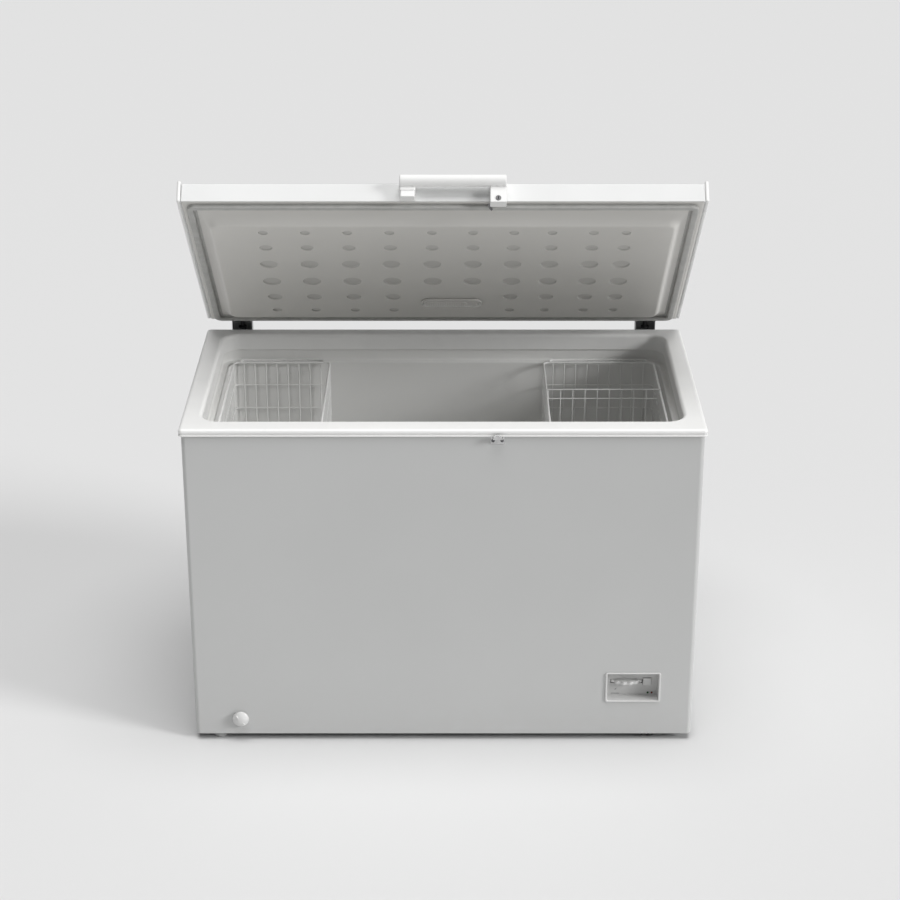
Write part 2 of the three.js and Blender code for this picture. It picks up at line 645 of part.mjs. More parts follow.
function doorHandle() {
  const back = LID_FRONT - GAP;
  const face = LID_FRONT - BAR.proud;
  const bar = block(BAR.left, BAR.right, face, face + BAR.thick, BAR.low, BAR.high, 9);
  const leftFoot = block(BAR.left, BAR.left + 33, face + 13, back, LID_LOW, BAR.high - 3, 4);
  const lockFoot = block(LOCK.x - 17, LOCK.x + 17, LID_FRONT - 25, back, 751, BAR.high - 3, 4);
  const bore = rod(5.9, [LOCK.x, face - 5, LOCK.z], [LOCK.x, back + 5, LOCK.z], 20);
  return cut(join(bar, leftFoot, lockFoot), bore);
}

// The barrel turns in the handle's foot; its tail carries a hooked cam below the lid's edge.
function lockCylinder() {
  const [x, z] = [LOCK.x, LOCK.z];
  const barrel = rod(5.5, [x, LID_FRONT - 26.5, z], [x, LID_FRONT - 0.8, z], 24);
  const keyway = box(x - 0.8, x + 0.8, LID_FRONT - 30, LID_FRONT - 20, z - 3.5, z + 3.5);
  const tail = rod(3, [x, LID_FRONT - 2, z], [x, LID_FRONT + 3.2, z], 12);
  const hook = new THREE.Shape();
  const [inner, outer] = [17, 22];
  const along = (radius, degrees) => {
    const angle = THREE.MathUtils.degToRad(degrees);
    return [x - radius * Math.cos(angle), z - radius * Math.sin(angle)];
  };
  hook.moveTo(x, z + 2.5);
  for (let degrees = 0; degrees <= 50; degrees += 10) hook.lineTo(...along(outer, degrees));
  for (let degrees = 50; degrees >= 10; degrees -= 10) hook.lineTo(...along(inner, degrees));
  hook.lineTo(x, z - 3);
  const cam = plateXZ(hook, LID_FRONT + 1.2, LID_FRONT + 2.7);
  return join(cut(barrel, keyway), tail, cam);
}

// ---- Hinges -------------------------------------------------------------------------------

function hingeBox(side) {
  const { x, y, z, width, low, high, back } = HINGE;
  const half = width / 2;
  const wall = 1.5;
  const shell = box(-half, half, TRIM_DEPTH / 2 + 0.6, back, low, high);
  const hollow = box(-half + wall, half - wall, 200, back - wall, low + wall, high + 5);
  const legs = join(
    box(-half - 12, -half + wall, REAR + GAP, REAR + GAP + wall, low + 10, 730),
    box(half - wall, half + 12, REAR + GAP, REAR + GAP + wall, low + 10, 730),
    box(-half, -half + wall, REAR + GAP, back - 2, low + 10, 730),
    box(half - wall, half, REAR + GAP, back - 2, low + 10, 730));
  const bore = rod(PIN_RADIUS + GAP, [-40, y, z], [40, y, z], 24);
  return cut(join(cut(shell, hollow), legs), bore).translate(side * x, 0, 0);
}

function hingePin(side) {
  const half = HINGE.width / 2;
  const shaft = rod(PIN_RADIUS, [-half - 1, HINGE.y, HINGE.z], [half + 1, HINGE.y, HINGE.z], 24);
  const heads = [-1, 1].map((end) =>
    rod(PIN_RADIUS + 2.5, [end * (half + 0.5), HINGE.y, HINGE.z],
      [end * (half + 3), HINGE.y, HINGE.z], 24));
  return join(shaft, ...heads).translate(side * HINGE.x, 0, 0);
}

// Two ears on a plate; each ear's lower outline is a spiral cam that presses the plunger.
function hingeArm(side) {
  const { y, z } = HINGE;
  const face = LID_REAR + GAP;
  const ear = new THREE.Shape();
  ear.moveTo(face, z - 14);
  for (let degrees = -20; degrees <= 90; degrees += 10) {
    const angle = THREE.MathUtils.degToRad(degrees);
    const radius = CAM_LOBE - CAM_FALL * Math.max(angle, 0);
    ear.lineTo(y + radius * Math.sin(angle), z - radius * Math.cos(angle));
  }
  ear.lineTo(y + 3.5, z + 5.5);
  ear.lineTo(face, z + 14);
  const plate = box(-19.5, 19.5, face, face + 1.5, LID_LOW + 4, LID_HIGH - 4);
  const ears = [-15, 9].map((left) => plateYZ(ear, left, left + 6));
  const bore = rod(PIN_RADIUS + 0.08, [-40, y, z], [40, y, z], 24);
  return cut(join(plate, ...ears), bore).translate(side * HINGE.x, 0, 0);
}

function hingePlunger(side) {
  const y = HINGE.y - 3.5;
  const cup = turned([[0, SPRING.high + 0.5], [9.6, SPRING.high + 0.5], [9.6, SPRING.high + 4],
    [5, SPRING.high + 6], [5, PLUNGER_TOP - 4], [0, PLUNGER_TOP - 4]], 0, y, 16);
  const head = box(-18, 18, y - 8, y + 11, PLUNGER_TOP - 5, PLUNGER_TOP);
  return join(cup, head).translate(side * HINGE.x, 0, 0);
}

function hingeSpring(side) {
  const { low, high, coil, wire } = SPRING;
  const turns = 6;
  const perTurn = 8;
  const points = [];
  for (let i = 0; i <= turns * perTurn; i += 1) {
    const angle = (i / perTurn) * Math.PI * 2;
    const rise = low + wire + ((high - low - 2 * wire) * i) / (turns * perTurn);
    points.push([side * HINGE.x + coil * Math.cos(angle), HINGE.y - 3.5 + coil * Math.sin(angle), rise]);
  }
  return tube(points, wire, 4);
}

// ---- Baskets ------------------------------------------------------------------------------

// A flat lattice of bars standing from the origin, with the given numbers of cells.
function lattice(width, height, across, up, bar) {
  const cellWidth = (width - bar) / across;
  const cellHeight = (height - bar) / up;
  const holes = [];
  for (let i = 0; i < across; i += 1) {
    for (let j = 0; j < up; j += 1) {
      const [x0, y0] = [bar + i * cellWidth, bar + j * cellHeight];
      holes.push(box(x0, x0 + cellWidth - bar, y0, y0 + cellHeight - bar, -1, bar + 1));
    }
  }
  return cut(box(0, width, 0, height, 0, bar), ...holes);
}

function wireBasket(low, high) {
  const { front, rear, hook, drop, bar, rim } = BASKET;
  const width = high - low;
  const depth = rear - front;
  const bottom = LEDGE - drop;
  const wallHeight = LEDGE - bottom + 1;
  const ends = [front, rear - bar].map((y) =>
    lattice(width, wallHeight, 2, 2, bar).rotateX(Math.PI / 2).translate(low, y + bar, bottom));
  const sides = [low, high - bar].map((x) =>
    lattice(depth, wallHeight, 4, 2, bar)
      .rotateX(Math.PI / 2).rotateZ(Math.PI / 2).translate(x, front, bottom));
  const floor = lattice(width, depth, 2, 4, bar).translate(low, front, bottom);
  const rims = [
    box(low, high, front - hook - 9, front + bar, RIM_LOW, RIM_LOW + rim),
    box(low, high, rear - bar, rear + hook + 9, RIM_LOW, RIM_LOW + rim),
    box(low, low + bar, front, rear, RIM_LOW, RIM_LOW + rim),
    box(high - bar, high, front, rear, RIM_LOW, RIM_LOW + rim),
  ];
  return join(...ends, ...sides, floor, ...rims);
}

function basketDivider() {
  const { drop, bar, rim } = BASKET;
  const low = BASKET_RIGHT.low + bar + 1;
  const high = BASKET_RIGHT.high - bar - 1;
  const bottom = LEDGE - drop + bar + 1;
  const grid = lattice(high - low, RIM_LOW + rim - bottom, 3, 2, 3)
    .rotateX(Math.PI / 2).translate(low, DIVIDER_Y + 1.5, bottom);
  const hooks = box(BASKET_RIGHT.low, BASKET_RIGHT.high, DIVIDER_Y - 1.5, DIVIDER_Y + 1.5,
    RIM_LOW + rim + GAP, RIM_LOW + rim + GAP + 3);
  const neck = box(low, high, DIVIDER_Y - 1.5, DIVIDER_Y + 1.5, RIM_LOW + 1, RIM_LOW + rim + 1.5);
  return join(grid, neck, hooks);
}

// ---- Assembly -----------------------------------------------------------------------------

const cabinet = new THREE.Group();
const lid = new THREE.Group();

function place(group, name, geometry, material) {
  const mesh = new THREE.Mesh(geometry, material);
  mesh.name = name;
  group.add(mesh);
}

place(cabinet, 'outer_wrapper', outerWrapper(), whiteSteel);
place(cabinet, 'back_panel', backPanel(), zinc);
place(cabinet, 'base_plate', basePlate(), zinc);
place(cabinet, 'compressor_tray', compressorTray(), zinc);
place(cabinet, 'compressor_bulkhead', compressorBulkhead(), zinc);
place(cabinet, 'insulation_foam', insulationFoam(), foamYellow);
place(cabinet, 'inner_liner', innerLiner(), linerWhite);
place(cabinet, 'top_trim', topTrim(), whitePlastic);
place(cabinet, 'lock_catch', lockCatch(), zinc);
place(cabinet, 'evaporator_coil', evaporatorCoil(), zinc);
place(cabinet, 'condenser_coil', condenserCoil(), copper);

place(cabinet, 'compressor', compressor(), blackSteel);
place(cabinet, 'start_relay', startRelay(), blackPlastic);
place(cabinet, 'filter_drier', filterDrier(), copper);
place(cabinet, 'discharge_pipe', dischargePipe(), copper);
place(cabinet, 'suction_pipe', suctionPipe(), copper);
place(cabinet, 'compressor_cover', compressorCover(), greyPlastic);
place(cabinet, 'cord_gland', cordGland(), blackPlastic);

place(cabinet, 'control_bezel', controlBezel(), whitePlastic);
place(cabinet, 'control_housing', controlHousing(), greyPlastic);
place(cabinet, 'thermostat', thermostat(), blackPlastic);
place(cabinet, 'thermostat_wheel', thermostatWheel(), whitePlastic);
place(cabinet, 'fast_freeze_switch', fastFreezeSwitch(), whitePlastic);
place(cabinet, 'power_lens', indicatorLens(ROCKER.x + 2.5), greenLens);
place(cabinet, 'alarm_lens', indicatorLens(ROCKER.x + 11.5), redLens);

place(cabinet, 'drain_pipe', drainPipe(), whitePlastic);
place(cabinet, 'drain_spout', drainSpout(), whitePlastic);
place(cabinet, 'drain_knob', drainKnob(), whitePlastic);
place(cabinet, 'drain_plug', drainPlug(), whitePlastic);

for (const [end, sign] of [['front', 1], ['rear', -1]]) {
  place(cabinet, `${end}_foot`, foot(sign * (FRONT + FOOT.inset)), greyPlastic);
  place(cabinet, `${end}_castor_housing`, castorHousing(sign * (FRONT + CASTOR.inset)), darkSteel);
  place(cabinet, `${end}_castor_wheels`, castorWheels(sign * (FRONT + CASTOR.inset)), blackPlastic);
}

for (const [name, side] of [['left', -1], ['right', 1]]) {
  place(cabinet, `${name}_hinge_box`, hingeBox(side), darkSteel);
  place(cabinet, `${name}_hinge_pin`, hingePin(side), zinc);
  place(cabinet, `${name}_hinge_spring`, hingeSpring(side), darkSteel);
  place(cabinet, `${name}_hinge_plunger`, hingePlunger(side), blackPlastic);
  place(lid, `${name}_hinge_arm`, hingeArm(side), zinc);
  place(lid, `${name}_lid_rim`, lidRim(side), whitePlastic);
}

place(cabinet, 'left_basket', wireBasket(BASKET_LEFT.low, BASKET_LEFT.high), coatedWire);
place(cabinet, 'right_basket', wireBasket(BASKET_RIGHT.low, BASKET_RIGHT.high), coatedWire);
place(cabinet, 'basket_divider', basketDivider(), coatedWire);

place(lid, 'lid_outer', lidOuter(), whiteSteel);
place(lid, 'lid_foam', lidFoam(), foamYellow);
place(lid, 'lid_liner', lidLiner(), linerWhite);
place(lid, 'lid_gasket', lidGasket(), sealGrey);
place(lid, 'lamp_cover', lampCover(), clearWhite);
place(lid, 'lamp_board', lampBoard(), boardGreen);
place(lid, 'lid_handle', doorHandle(), whitePlastic);
place(lid, 'lid_lock', lockCylinder(), zinc);

// The lid is drawn shut, then swung open about the hinge pins.
const pivot = new THREE.Vector3(0, HINGE.y, HINGE.z);
for (const mesh of lid.children) mesh.position.copy(pivot).negate();
lid.position.copy(pivot);
lid.rotation.x = -LID_OPEN;

// The origin is on the floor, under the middle of the whole object as it stands.
const FOREMOST = FRONT - GAP - CATCH.reach;
const freezer = new THREE.Group();
freezer.add(cabinet, lid);
freezer.position.y = -(FOREMOST + HINGE.back) / 2;

export default freezer;
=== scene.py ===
"""A chest freezer with its lid open: enamelled cabinet, moulded worktop trim, foamed tub with wire
baskets, control panel, drain, feet, castors, rear machinery and a hinged, lockable lid.

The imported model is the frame. Every visible piece is drawn here in millimetres, in the drawing
frame of the cabinet (X to the right, Y to the rear, Z up, the lid shut), and is then placed in
metres on the body that carries it.
"""

import json
import math

import bmesh
import bpy
from mathutils import Matrix, Vector
from mathutils.geometry import delaunay_2d_cdt


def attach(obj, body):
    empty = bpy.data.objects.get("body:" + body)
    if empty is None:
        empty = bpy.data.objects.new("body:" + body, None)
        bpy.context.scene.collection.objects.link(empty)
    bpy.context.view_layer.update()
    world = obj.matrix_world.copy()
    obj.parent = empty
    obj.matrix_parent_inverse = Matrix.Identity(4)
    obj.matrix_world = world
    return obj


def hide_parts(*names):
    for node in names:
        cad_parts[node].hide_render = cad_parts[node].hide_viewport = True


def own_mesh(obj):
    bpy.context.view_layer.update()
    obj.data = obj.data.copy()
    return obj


bl_info = {
    "name": "Chest Freezer",
    "version": (1, 0, 0),
    "blender": (4, 5, 0),
    "location": "View3D > Sidebar > Freezer",
    "description": "Builds a chest freezer round its packed frame",
    "category": "Object",
}

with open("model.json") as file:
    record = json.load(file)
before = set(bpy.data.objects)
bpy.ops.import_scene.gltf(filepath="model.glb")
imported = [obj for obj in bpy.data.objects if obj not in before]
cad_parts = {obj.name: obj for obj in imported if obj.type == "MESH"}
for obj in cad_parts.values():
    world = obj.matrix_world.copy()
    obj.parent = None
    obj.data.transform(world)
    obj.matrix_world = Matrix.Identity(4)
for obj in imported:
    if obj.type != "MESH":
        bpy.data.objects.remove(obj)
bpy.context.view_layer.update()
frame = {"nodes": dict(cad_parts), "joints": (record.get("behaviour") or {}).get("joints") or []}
JOINTS = {joint["name"]: joint for joint in frame["joints"]}

# ---- Sizes in millimetres, as the cabinet is drawn -----------------------------------------

MM = 0.001
GAP = 0.3                               # air between pieces that touch
PIN_Y, PIN_Z = 325.5, 786.0             # the lid's hinge line
FRONT, REAR = -301.5, 301.5             # faces of the cabinet's steel body
BODY_HALF = 552.5
BODY_LOW, BODY_HIGH = 15.0, 741.0
SHEET = 1.2
FOLD = 1.3                              # radius of the hem at the cabinet's bottom edge
TRIM = (557.5, -307.5, 307.5, 9.0)     # half width, front, rear and corner of the worktop
TRIM_TOP, TRIM_LOW, SKIRT_LOW = 754.0, 738.0, 716.0
MOUTH = (513.5, -255.5, 267.5, 40.0)    # the opening in it
SLEEVE = (516.8, -258.8, 270.8, 43.3)   # the liner behind the trim's skirt
TUB = (503.0, -245.0, 257.0, 30.0)
LEDGE, TUB_FLOOR = 690.0, 103.0
STEP_X, STEP_TOP = 235.0, 345.0
PANEL_X, PANEL_Z, PANEL_DEPTH = 419.7, 134.0, 22.0
PANEL_FRAME, PANEL_MOUTH = (61, -36.5, 36.5, 4), (57, -33.5, 33.5, 2)
FASCIA = FRONT + PANEL_DEPTH
WHEEL = (407.2, FASCIA - 14 + 45, 137.0, 45.0)     # x, y, z and radius
ROCKER = (452.5, 136.0, 18.0, 16.0)                # x, z, width and height
DRAIN = (-451.0, 56.0)
DRAIN_WELL_Y = -215.0
LID = (554.5, -314.5, 307.5)
LID_LOW, LID_HIGH = 764.0, 807.0
RIM_WIDTH, RIM_RISE = 8.0, 5.0
PLATEAU = (500.0, -248.0, 258.0, 26.0)
PLATEAU_LOW = 742.0
LAMP = (18.0, 156.0, 140.0, 42.0)       # x, y, width and depth
BAR = (-90.0, 132.0, -352.5, -331.5, 786.5, 808.5)  # the handle's grip
LAMPS_Z = 108.0                         # the two indicator lamps
LOCK = (115.0, 760.0)
HINGE_X = 475.0
LEFT_BASKET, RIGHT_BASKET = (-493.5, -264.0), (231.0, 493.5)
BASKET_FRONT, BASKET_REAR, BASKET_LOW, BASKET_RIM = -235.5, 247.5, 485.0, 692.8
HOOK_REACH = 16.0
DIVIDER_Y = 64.0
FOOT = (-499.5, 276.5)
CASTOR = (457.0, 268.5, 11.0, 15.0)     # x, y of the swivel, trail and wheel radius
GLAND = (330.0, 71.0)
BACK_DOOR = (300, 540, 60, 285)         # the machine bay's window in the back sheet
COVER = (420, 172.5, 128, 120.5)        # the cover on it: middle, half width and half height
COMPRESSOR = (430.0, 60.0, 75.0)        # x, y and radius

# ---- The studio, in metres ------------------------------------------------------------------

CAMERA = (0.0148, -4.4955, 2.517)
CAMERA_TILT = 66.6                      # degrees up from straight down
OVERHEAD, SIDE = (0.1, -0.35, 4.6), (10.2, -4.3, 5.3)
LIGHTS_AIM = (0, 0, 0.6)

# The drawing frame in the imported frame, and the lid's swing from shut to its rest.
PIN = Vector(JOINTS["lid_hinge"]["pos_m"])
DRAWING_ORIGIN = (PIN.x, PIN.y - PIN_Y * MM, PIN.z - PIN_Z * MM)
CABINET_PLACE = Matrix.Translation(DRAWING_ORIGIN) @ Matrix.Scale(MM, 4)
LID_SWING = Matrix.Rotation(math.radians(JOINTS["lid_hinge"]["range_deg"][0]), 4, "X")
LID_PLACE = Matrix.Translation(PIN) @ LID_SWING @ Matrix.Translation(-PIN) @ CABINET_PLACE


# ---- Materials -----------------------------------------------------------------------------

DUST = (0.52, 0.5, 0.46, 1.0)


class Number:
    """A number in a material; arithmetic on it adds the Math nodes."""

    def __init__(self, finish, socket):
        self.finish = finish
        self.socket = socket

    def _maths(self, operation, first, second):
        node = self.finish.node("ShaderNodeMath", {"operation": operation}, {0: first, 1: second})
        return Number(self.finish, node.outputs[0])

    def __add__(self, other):
        return self._maths("ADD", self, other)

    def __sub__(self, other):
        return self._maths("SUBTRACT", self, other)

    def __mul__(self, other):
        return self._maths("MULTIPLY", self, other)

    def __rsub__(self, other):
        return self._maths("SUBTRACT", other, self)

    __radd__ = __add__
    __rmul__ = __mul__

    def between(self, low, high, start=0.0, end=1.0):
        """This number carried from one range to another, and held at its ends."""
        node = self.finish.node(
            "ShaderNodeMapRange",
            {"clamp": True},
            {"Value": self, "From Min": low, "From Max": high, "To Min": start, "To Max": end},
        )
        return Number(self.finish, node.outputs["Result"])


class Finish:
    """A material under construction: its shader, and the patterns that drive it."""

    def __init__(self, name, **fixed):
        self.material = bpy.data.materials.new(name)
        self.material.use_nodes = True
        self.tree = self.material.node_tree
        self.shader = self.tree.nodes["Principled BSDF"]
        self.place = self.node("ShaderNodeTexCoord").outputs["Object"]
        for socket, value in fixed.items():
            self.shader.inputs[socket.replace("_", " ")].default_value = value

    def node(self, kind, settings=None, sockets=None):
        """A node of that type, with its settings and then the values or links of its sockets."""
        node = self.tree.nodes.new(kind)
        for name, value in (settings or {}).items():
            setattr(node, name, value)
        for key, value in (sockets or {}).items():
            self.feed(node.inputs[key], value)
        return node

    def feed(self, socket, value):
        """Links a socket to what drives it, or sets its value."""
        if isinstance(value, Number):
            value = value.socket
        if isinstance(value, bpy.types.NodeSocket):
            self.tree.links.new(value, socket)
        else:
            socket.default_value = value

    def stretched(self, x, y, z):
        """The object's own coordinates, scaled along each axis."""
        return self.node("ShaderNodeMapping", None, {"Vector": self.place, "Scale": (x, y, z)}).outputs[0]

    def noise(self, scale, detail=3.0, place=None):
        """Soft noise between 0 and 1."""
        node = self.node(
            "ShaderNodeTexNoise", None, {"Vector": place or self.place, "Scale": scale, "Detail": detail}
        )
        return Number(self, node.outputs["Fac"])

    def cells(self, scale, place=None):
        """Distance to the middle of the nearest cell."""
        sockets = {"Vector": place or self.place, "Scale": scale}
        return Number(self, self.node("ShaderNodeTexVoronoi", None, sockets).outputs["Distance"])

    def height(self):
        """How high a point stands, in metres."""
        node = self.node("ShaderNodeSeparateXYZ", None, {"Vector": self.place})
        return Number(self, node.outputs["Z"])

    def mix(self, factor, first, second):
        """One colour going over to another."""
        node = self.node("ShaderNodeMix", {"data_type": "RGBA"}, {"Factor": factor, "A": first, "B": second})
        return node.outputs["Result"]

    def bump(self, height, distance, strength=1.0):
        """Relief on the surface, over any that it has already."""
        sockets = {"Height": height, "Distance": distance, "Strength": strength}
        if self.shader.inputs["Normal"].is_linked:
            sockets["Normal"] = self.shader.inputs["Normal"].links[0].from_socket
        self.feed(self.shader.inputs["Normal"], self.node("ShaderNodeBump", None, sockets).outputs[0])

    def paint(self, colour=None, roughness=None, metallic=None, coat=None):
        """Feeds the shader and gives the finished material."""
        given = {"Base Color": colour, "Roughness": roughness, "Metallic": metallic, "Coat Weight": coat}
        for name, value in given.items():
            if value is not None:
                self.feed(self.shader.inputs[name], value)
        return self.material


def shade(colour, factor):
    """A colour made darker or lighter, as an RGBA value."""
    return tuple(min(1.0, part * factor) for part in tuple(colour)[:3]) + (1.0,)


def enamel(name, colour, peel=0.00004):
    """Baked enamel on sheet steel: orange peel, faint unevenness, and dust towards the floor."""
    finish = Finish(name, IOR=1.5, Coat_Roughness=0.12)
    broad, fine = finish.noise(2.2, 4.0), finish.noise(38.0, 5.0)
    low = finish.height().between(0.16, 0.0) * fine.between(0.35, 0.75)
    tone = finish.mix(broad.between(0.3, 0.7), shade(colour, 0.975), shade(colour, 1.015))
    dusty = finish.mix(low * 0.08, tone, DUST)
    finish.bump(finish.noise(420.0, 2.0), peel, 0.6)
    finish.bump(finish.noise(5.0, 2.0), 0.00025, 0.35)
    wiped = finish.noise(9.0, 3.0, finish.stretched(1.0, 1.0, 0.25)).between(0.2, 0.8, 0.3, 0.44)
    return finish.paint(dusty, wiped + low * 0.1, coat=broad.between(0.2, 0.8, 0.1, 0.3))


def moulded(name, colour, gloss=0.4, grain=0.00003, scale=1500.0):
    """Injection-moulded plastic: fine spark texture, flow marks and a few rubbed patches."""
    finish = Finish(name, IOR=1.46)
    flow = finish.noise(6.0, 3.0, finish.stretched(0.3, 1.0, 1.0))
    rubbed = finish.noise(26.0, 6.0).between(0.56, 0.7)
    tone = finish.mix(flow.between(0.3, 0.7), shade(colour, 0.965), shade(colour, 1.02))
    tone = finish.mix(rubbed * 0.18, tone, shade(colour, 0.9))
    finish.bump(finish.noise(scale, 2.0), grain, 0.7)
    return finish.paint(tone, gloss + flow * 0.08 - rubbed * 0.06)


def dimpled(name, colour):
    """The lid liner's plastic, darkened by painted shade in its pressed dimples, and a little rougher there.
    """
    finish = Finish(name, IOR=1.46)
    flow = finish.noise(6.0, 3.0, finish.stretched(0.3, 1.0, 1.0))
    hollow = Number(finish, finish.node("ShaderNodeAttribute", {"attribute_name": "hollow"}).outputs["Fac"])
    tone = finish.mix(flow.between(0.3, 0.7), shade(colour, 0.97), shade(colour, 1.02))
    # painted shade: the dimples' floors, marked by the hollow attribute, are darkened where shade falls in
    # them
    tone = finish.mix(hollow, tone, shade(colour, 0.87))
    finish.bump(finish.noise(420.0, 2.0), 0.00005, 0.7)
    return finish.paint(tone, 0.36 + flow * 0.08 + hollow * 0.06)


def plated(name, colour, gloss=0.32, streak=(1.0, 1.0, 1.0)):
    """Zinc-plated or bare metal: soft streaks, small pits and duller patches."""
    finish = Finish(name, Metallic=1.0)
    dull = finish.noise(60.0, 5.0)
    lines = finish.noise(420.0, 3.0, finish.stretched(*streak))
    tone = finish.mix(dull.between(0.35, 0.7), shade(colour, 1.06), shade(colour, 0.82))
    finish.bump(lines, 0.00003, 0.6)
    return finish.paint(tone, gloss + dull * 0.16 + lines * 0.05)


def galvanised(name, colour):
    """Hot-dipped sheet: overlapping crystal spangles that differ in tone and gloss."""
    finish = Finish(name, Metallic=0.85)
    spangle = finish.node("ShaderNodeTexVoronoi", None, {"Vector": finish.place, "Scale": 75.0})
    split = finish.node("ShaderNodeSeparateColor", None, {0: spangle.outputs["Color"]})
    crystal = Number(finish, split.outputs[0])
    haze = finish.noise(7.0, 4.0)
    tone = finish.mix(crystal * 0.7 + haze * 0.3, shade(colour, 0.86), shade(colour, 1.1))
    finish.bump(Number(finish, spangle.outputs["Distance"]), 0.00002, 0.5)
    return finish.paint(tone, 0.34 + crystal * 0.16 + haze * 0.08)


def rubber(name, colour):
    """Soft seal: matt, with a fine bloom that darkens it in patches."""
    finish = Finish(name, IOR=1.4, Sheen_Weight=0.15)
    bloom = finish.noise(45.0, 5.0)
    finish.bump(finish.noise(900.0, 2.0), 0.00004, 0.6)
    tone = finish.mix(bloom.between(0.4, 0.75), colour, shade(colour, 0.86))
    return finish.paint(tone, 0.62 + bloom * 0.14)


def cellular(name, colour):
    """Poured foam: open cells with darker walls."""
    finish = Finish(name)
    cell = finish.cells(350.0)
    age = finish.noise(12.0, 4.0)
    finish.bump(cell, 0.0008, 0.8)
    return finish.paint(finish.mix(age, shade(colour, 0.8), colour), 0.85 + cell * 0.1)


def glossy_lens(name, colour):
    """A small tinted lens with moulded-in haze."""
    finish = Finish(name, IOR=1.5, Coat_Weight=0.6, Coat_Roughness=0.08)
    haze = finish.noise(300.0, 2.0)
    return finish.paint(finish.mix(haze, shade(colour, 0.8), colour), 0.18 + haze * 0.1)


def circuit(name):
    """Green solder mask over copper tracks."""
    finish = Finish(name)
    tracks = finish.cells(160.0, place=finish.stretched(1.0, 0.3, 1.0)).between(0.42, 0.46)
    return finish.paint(finish.mix(tracks, (0.02, 0.16, 0.05, 1), (0.05, 0.3, 0.1, 1)), 0.35 + tracks * 0.2)


MATERIALS = {}


def make_materials(colours):
    """Every finish of the freezer by its name."""
    white, cream, under = tuple(colours.plastic), tuple(colours.liner), tuple(colours.underside)
    MATERIALS.update(
        # painted shade: the cabinet's enamel is a darker copy of the lid's white enamel, for the shade on its
        # upright faces
        enamel=enamel("Enamelled steel", tuple(colours.enamel)),
        lid_enamel=enamel("Lid enamel", tuple(colours.lid)),
        trim=moulded("Worktop plastic", white, 0.3, 0.00002, 900.0),
        handle=moulded("Handle plastic", white, 0.34),
        # painted shade: a greyed copy of the white plastic for the shade on the drain knob's front, the
        # control frame, and the wheel and rocker in their recess
        knob=moulded("Knob plastic", shade(white, 0.84), 0.3),
        lock=moulded("Lock barrel", (0.17, 0.17, 0.175, 1), 0.35),
        # painted light and shade: the tub liner is a lighter copy and the lid liner a darker copy of one
        # white liner colour
        liner=enamel("Tub liner", cream, 0.00006),
        lid_liner=dimpled("Lid liner plastic", under),
        grey=moulded("Grey plastic", (0.5, 0.505, 0.5, 1), 0.46),
        # painted shade: the control recess is a darker copy of the white plastic, for the shade inside the
        # recess
        panel=moulded("Control plastic", shade(white, 0.66), 0.42),
        marks=moulded("Printed marks", (0.16, 0.165, 0.17, 1), 0.5),
        seal=rubber("Seal rubber", tuple(colours.seal)),
        galvanised=galvanised("Galvanised sheet", (0.58, 0.6, 0.61, 1)),
        zinc=plated("Zinc plate", (0.66, 0.66, 0.64, 1)),
        chrome=plated("Bright plate", (0.6, 0.6, 0.6, 1), 0.12),
        hinge=enamel("Hinge enamel", (0.4, 0.405, 0.41, 1), 0.00008),
        black_enamel=enamel("Black enamel", (0.02, 0.02, 0.022, 1), 0.0001),
        black=moulded("Black plastic", (0.025, 0.025, 0.026, 1), 0.5, 0.00005),
        tyre=rubber("Castor tyre", (0.035, 0.035, 0.036, 1)),
        wire=moulded("Coated wire", shade(white, 0.97), 0.3, 0.00006, 700.0),
        copper=plated("Copper tube", (0.72, 0.36, 0.22, 1), 0.28),
        aluminium=plated("Aluminium tube", (0.78, 0.78, 0.79, 1), 0.3),
        spring=plated("Spring steel", (0.2, 0.2, 0.21, 1), 0.35),
        foam=cellular("Foam", (0.75, 0.6, 0.32, 1)),
        # painted shade: the diffuser takes the lid liner's darkened colour
        diffuser=glossy_lens("Lamp diffuser", shade(under, 1.02)),
        green=glossy_lens("Green lens", (0.02, 0.12, 0.03, 1)),
        red=glossy_lens("Red lens", (0.16, 0.015, 0.01, 1)),
        board=circuit("Circuit board"),
    )


# ---- Mesh making ---------------------------------------------------------------------------


def arc(cx, cy, radius, start, end, steps=6):
    """Points on an arc, with the angles in degrees."""
    angles = [math.radians(start + (end - start) * i / steps) for i in range(steps + 1)]
    return [(cx + radius * math.cos(a), cy + radius * math.sin(a)) for a in angles]


def outline(x0, x1, y0, y1, corner, steps=8):
    """A rectangle with round corners, anticlockwise."""
    corner = max(corner, 0.2)
    points = []
    for cx, cy, start in (
        (x1 - corner, y0 + corner, -90),
        (x1 - corner, y1 - corner, 0),
        (x0 + corner, y1 - corner, 90),
        (x0 + corner, y0 + corner, 180),
    ):
        points += arc(cx, cy, corner, start, start + 90, steps)
    return points


def rings(rect, profile, steps=8):
    """One level ring for each (inset, z) of the profile, round a (half width, front, rear, corner)."""
    half, front, rear, corner = rect
    loops = []
    for inset, z in profile:
        level = outline(inset - half, half - inset, front + inset, rear - inset, corner - inset, steps)
        loops.append([(x, y, z) for x, y in level])
    return loops


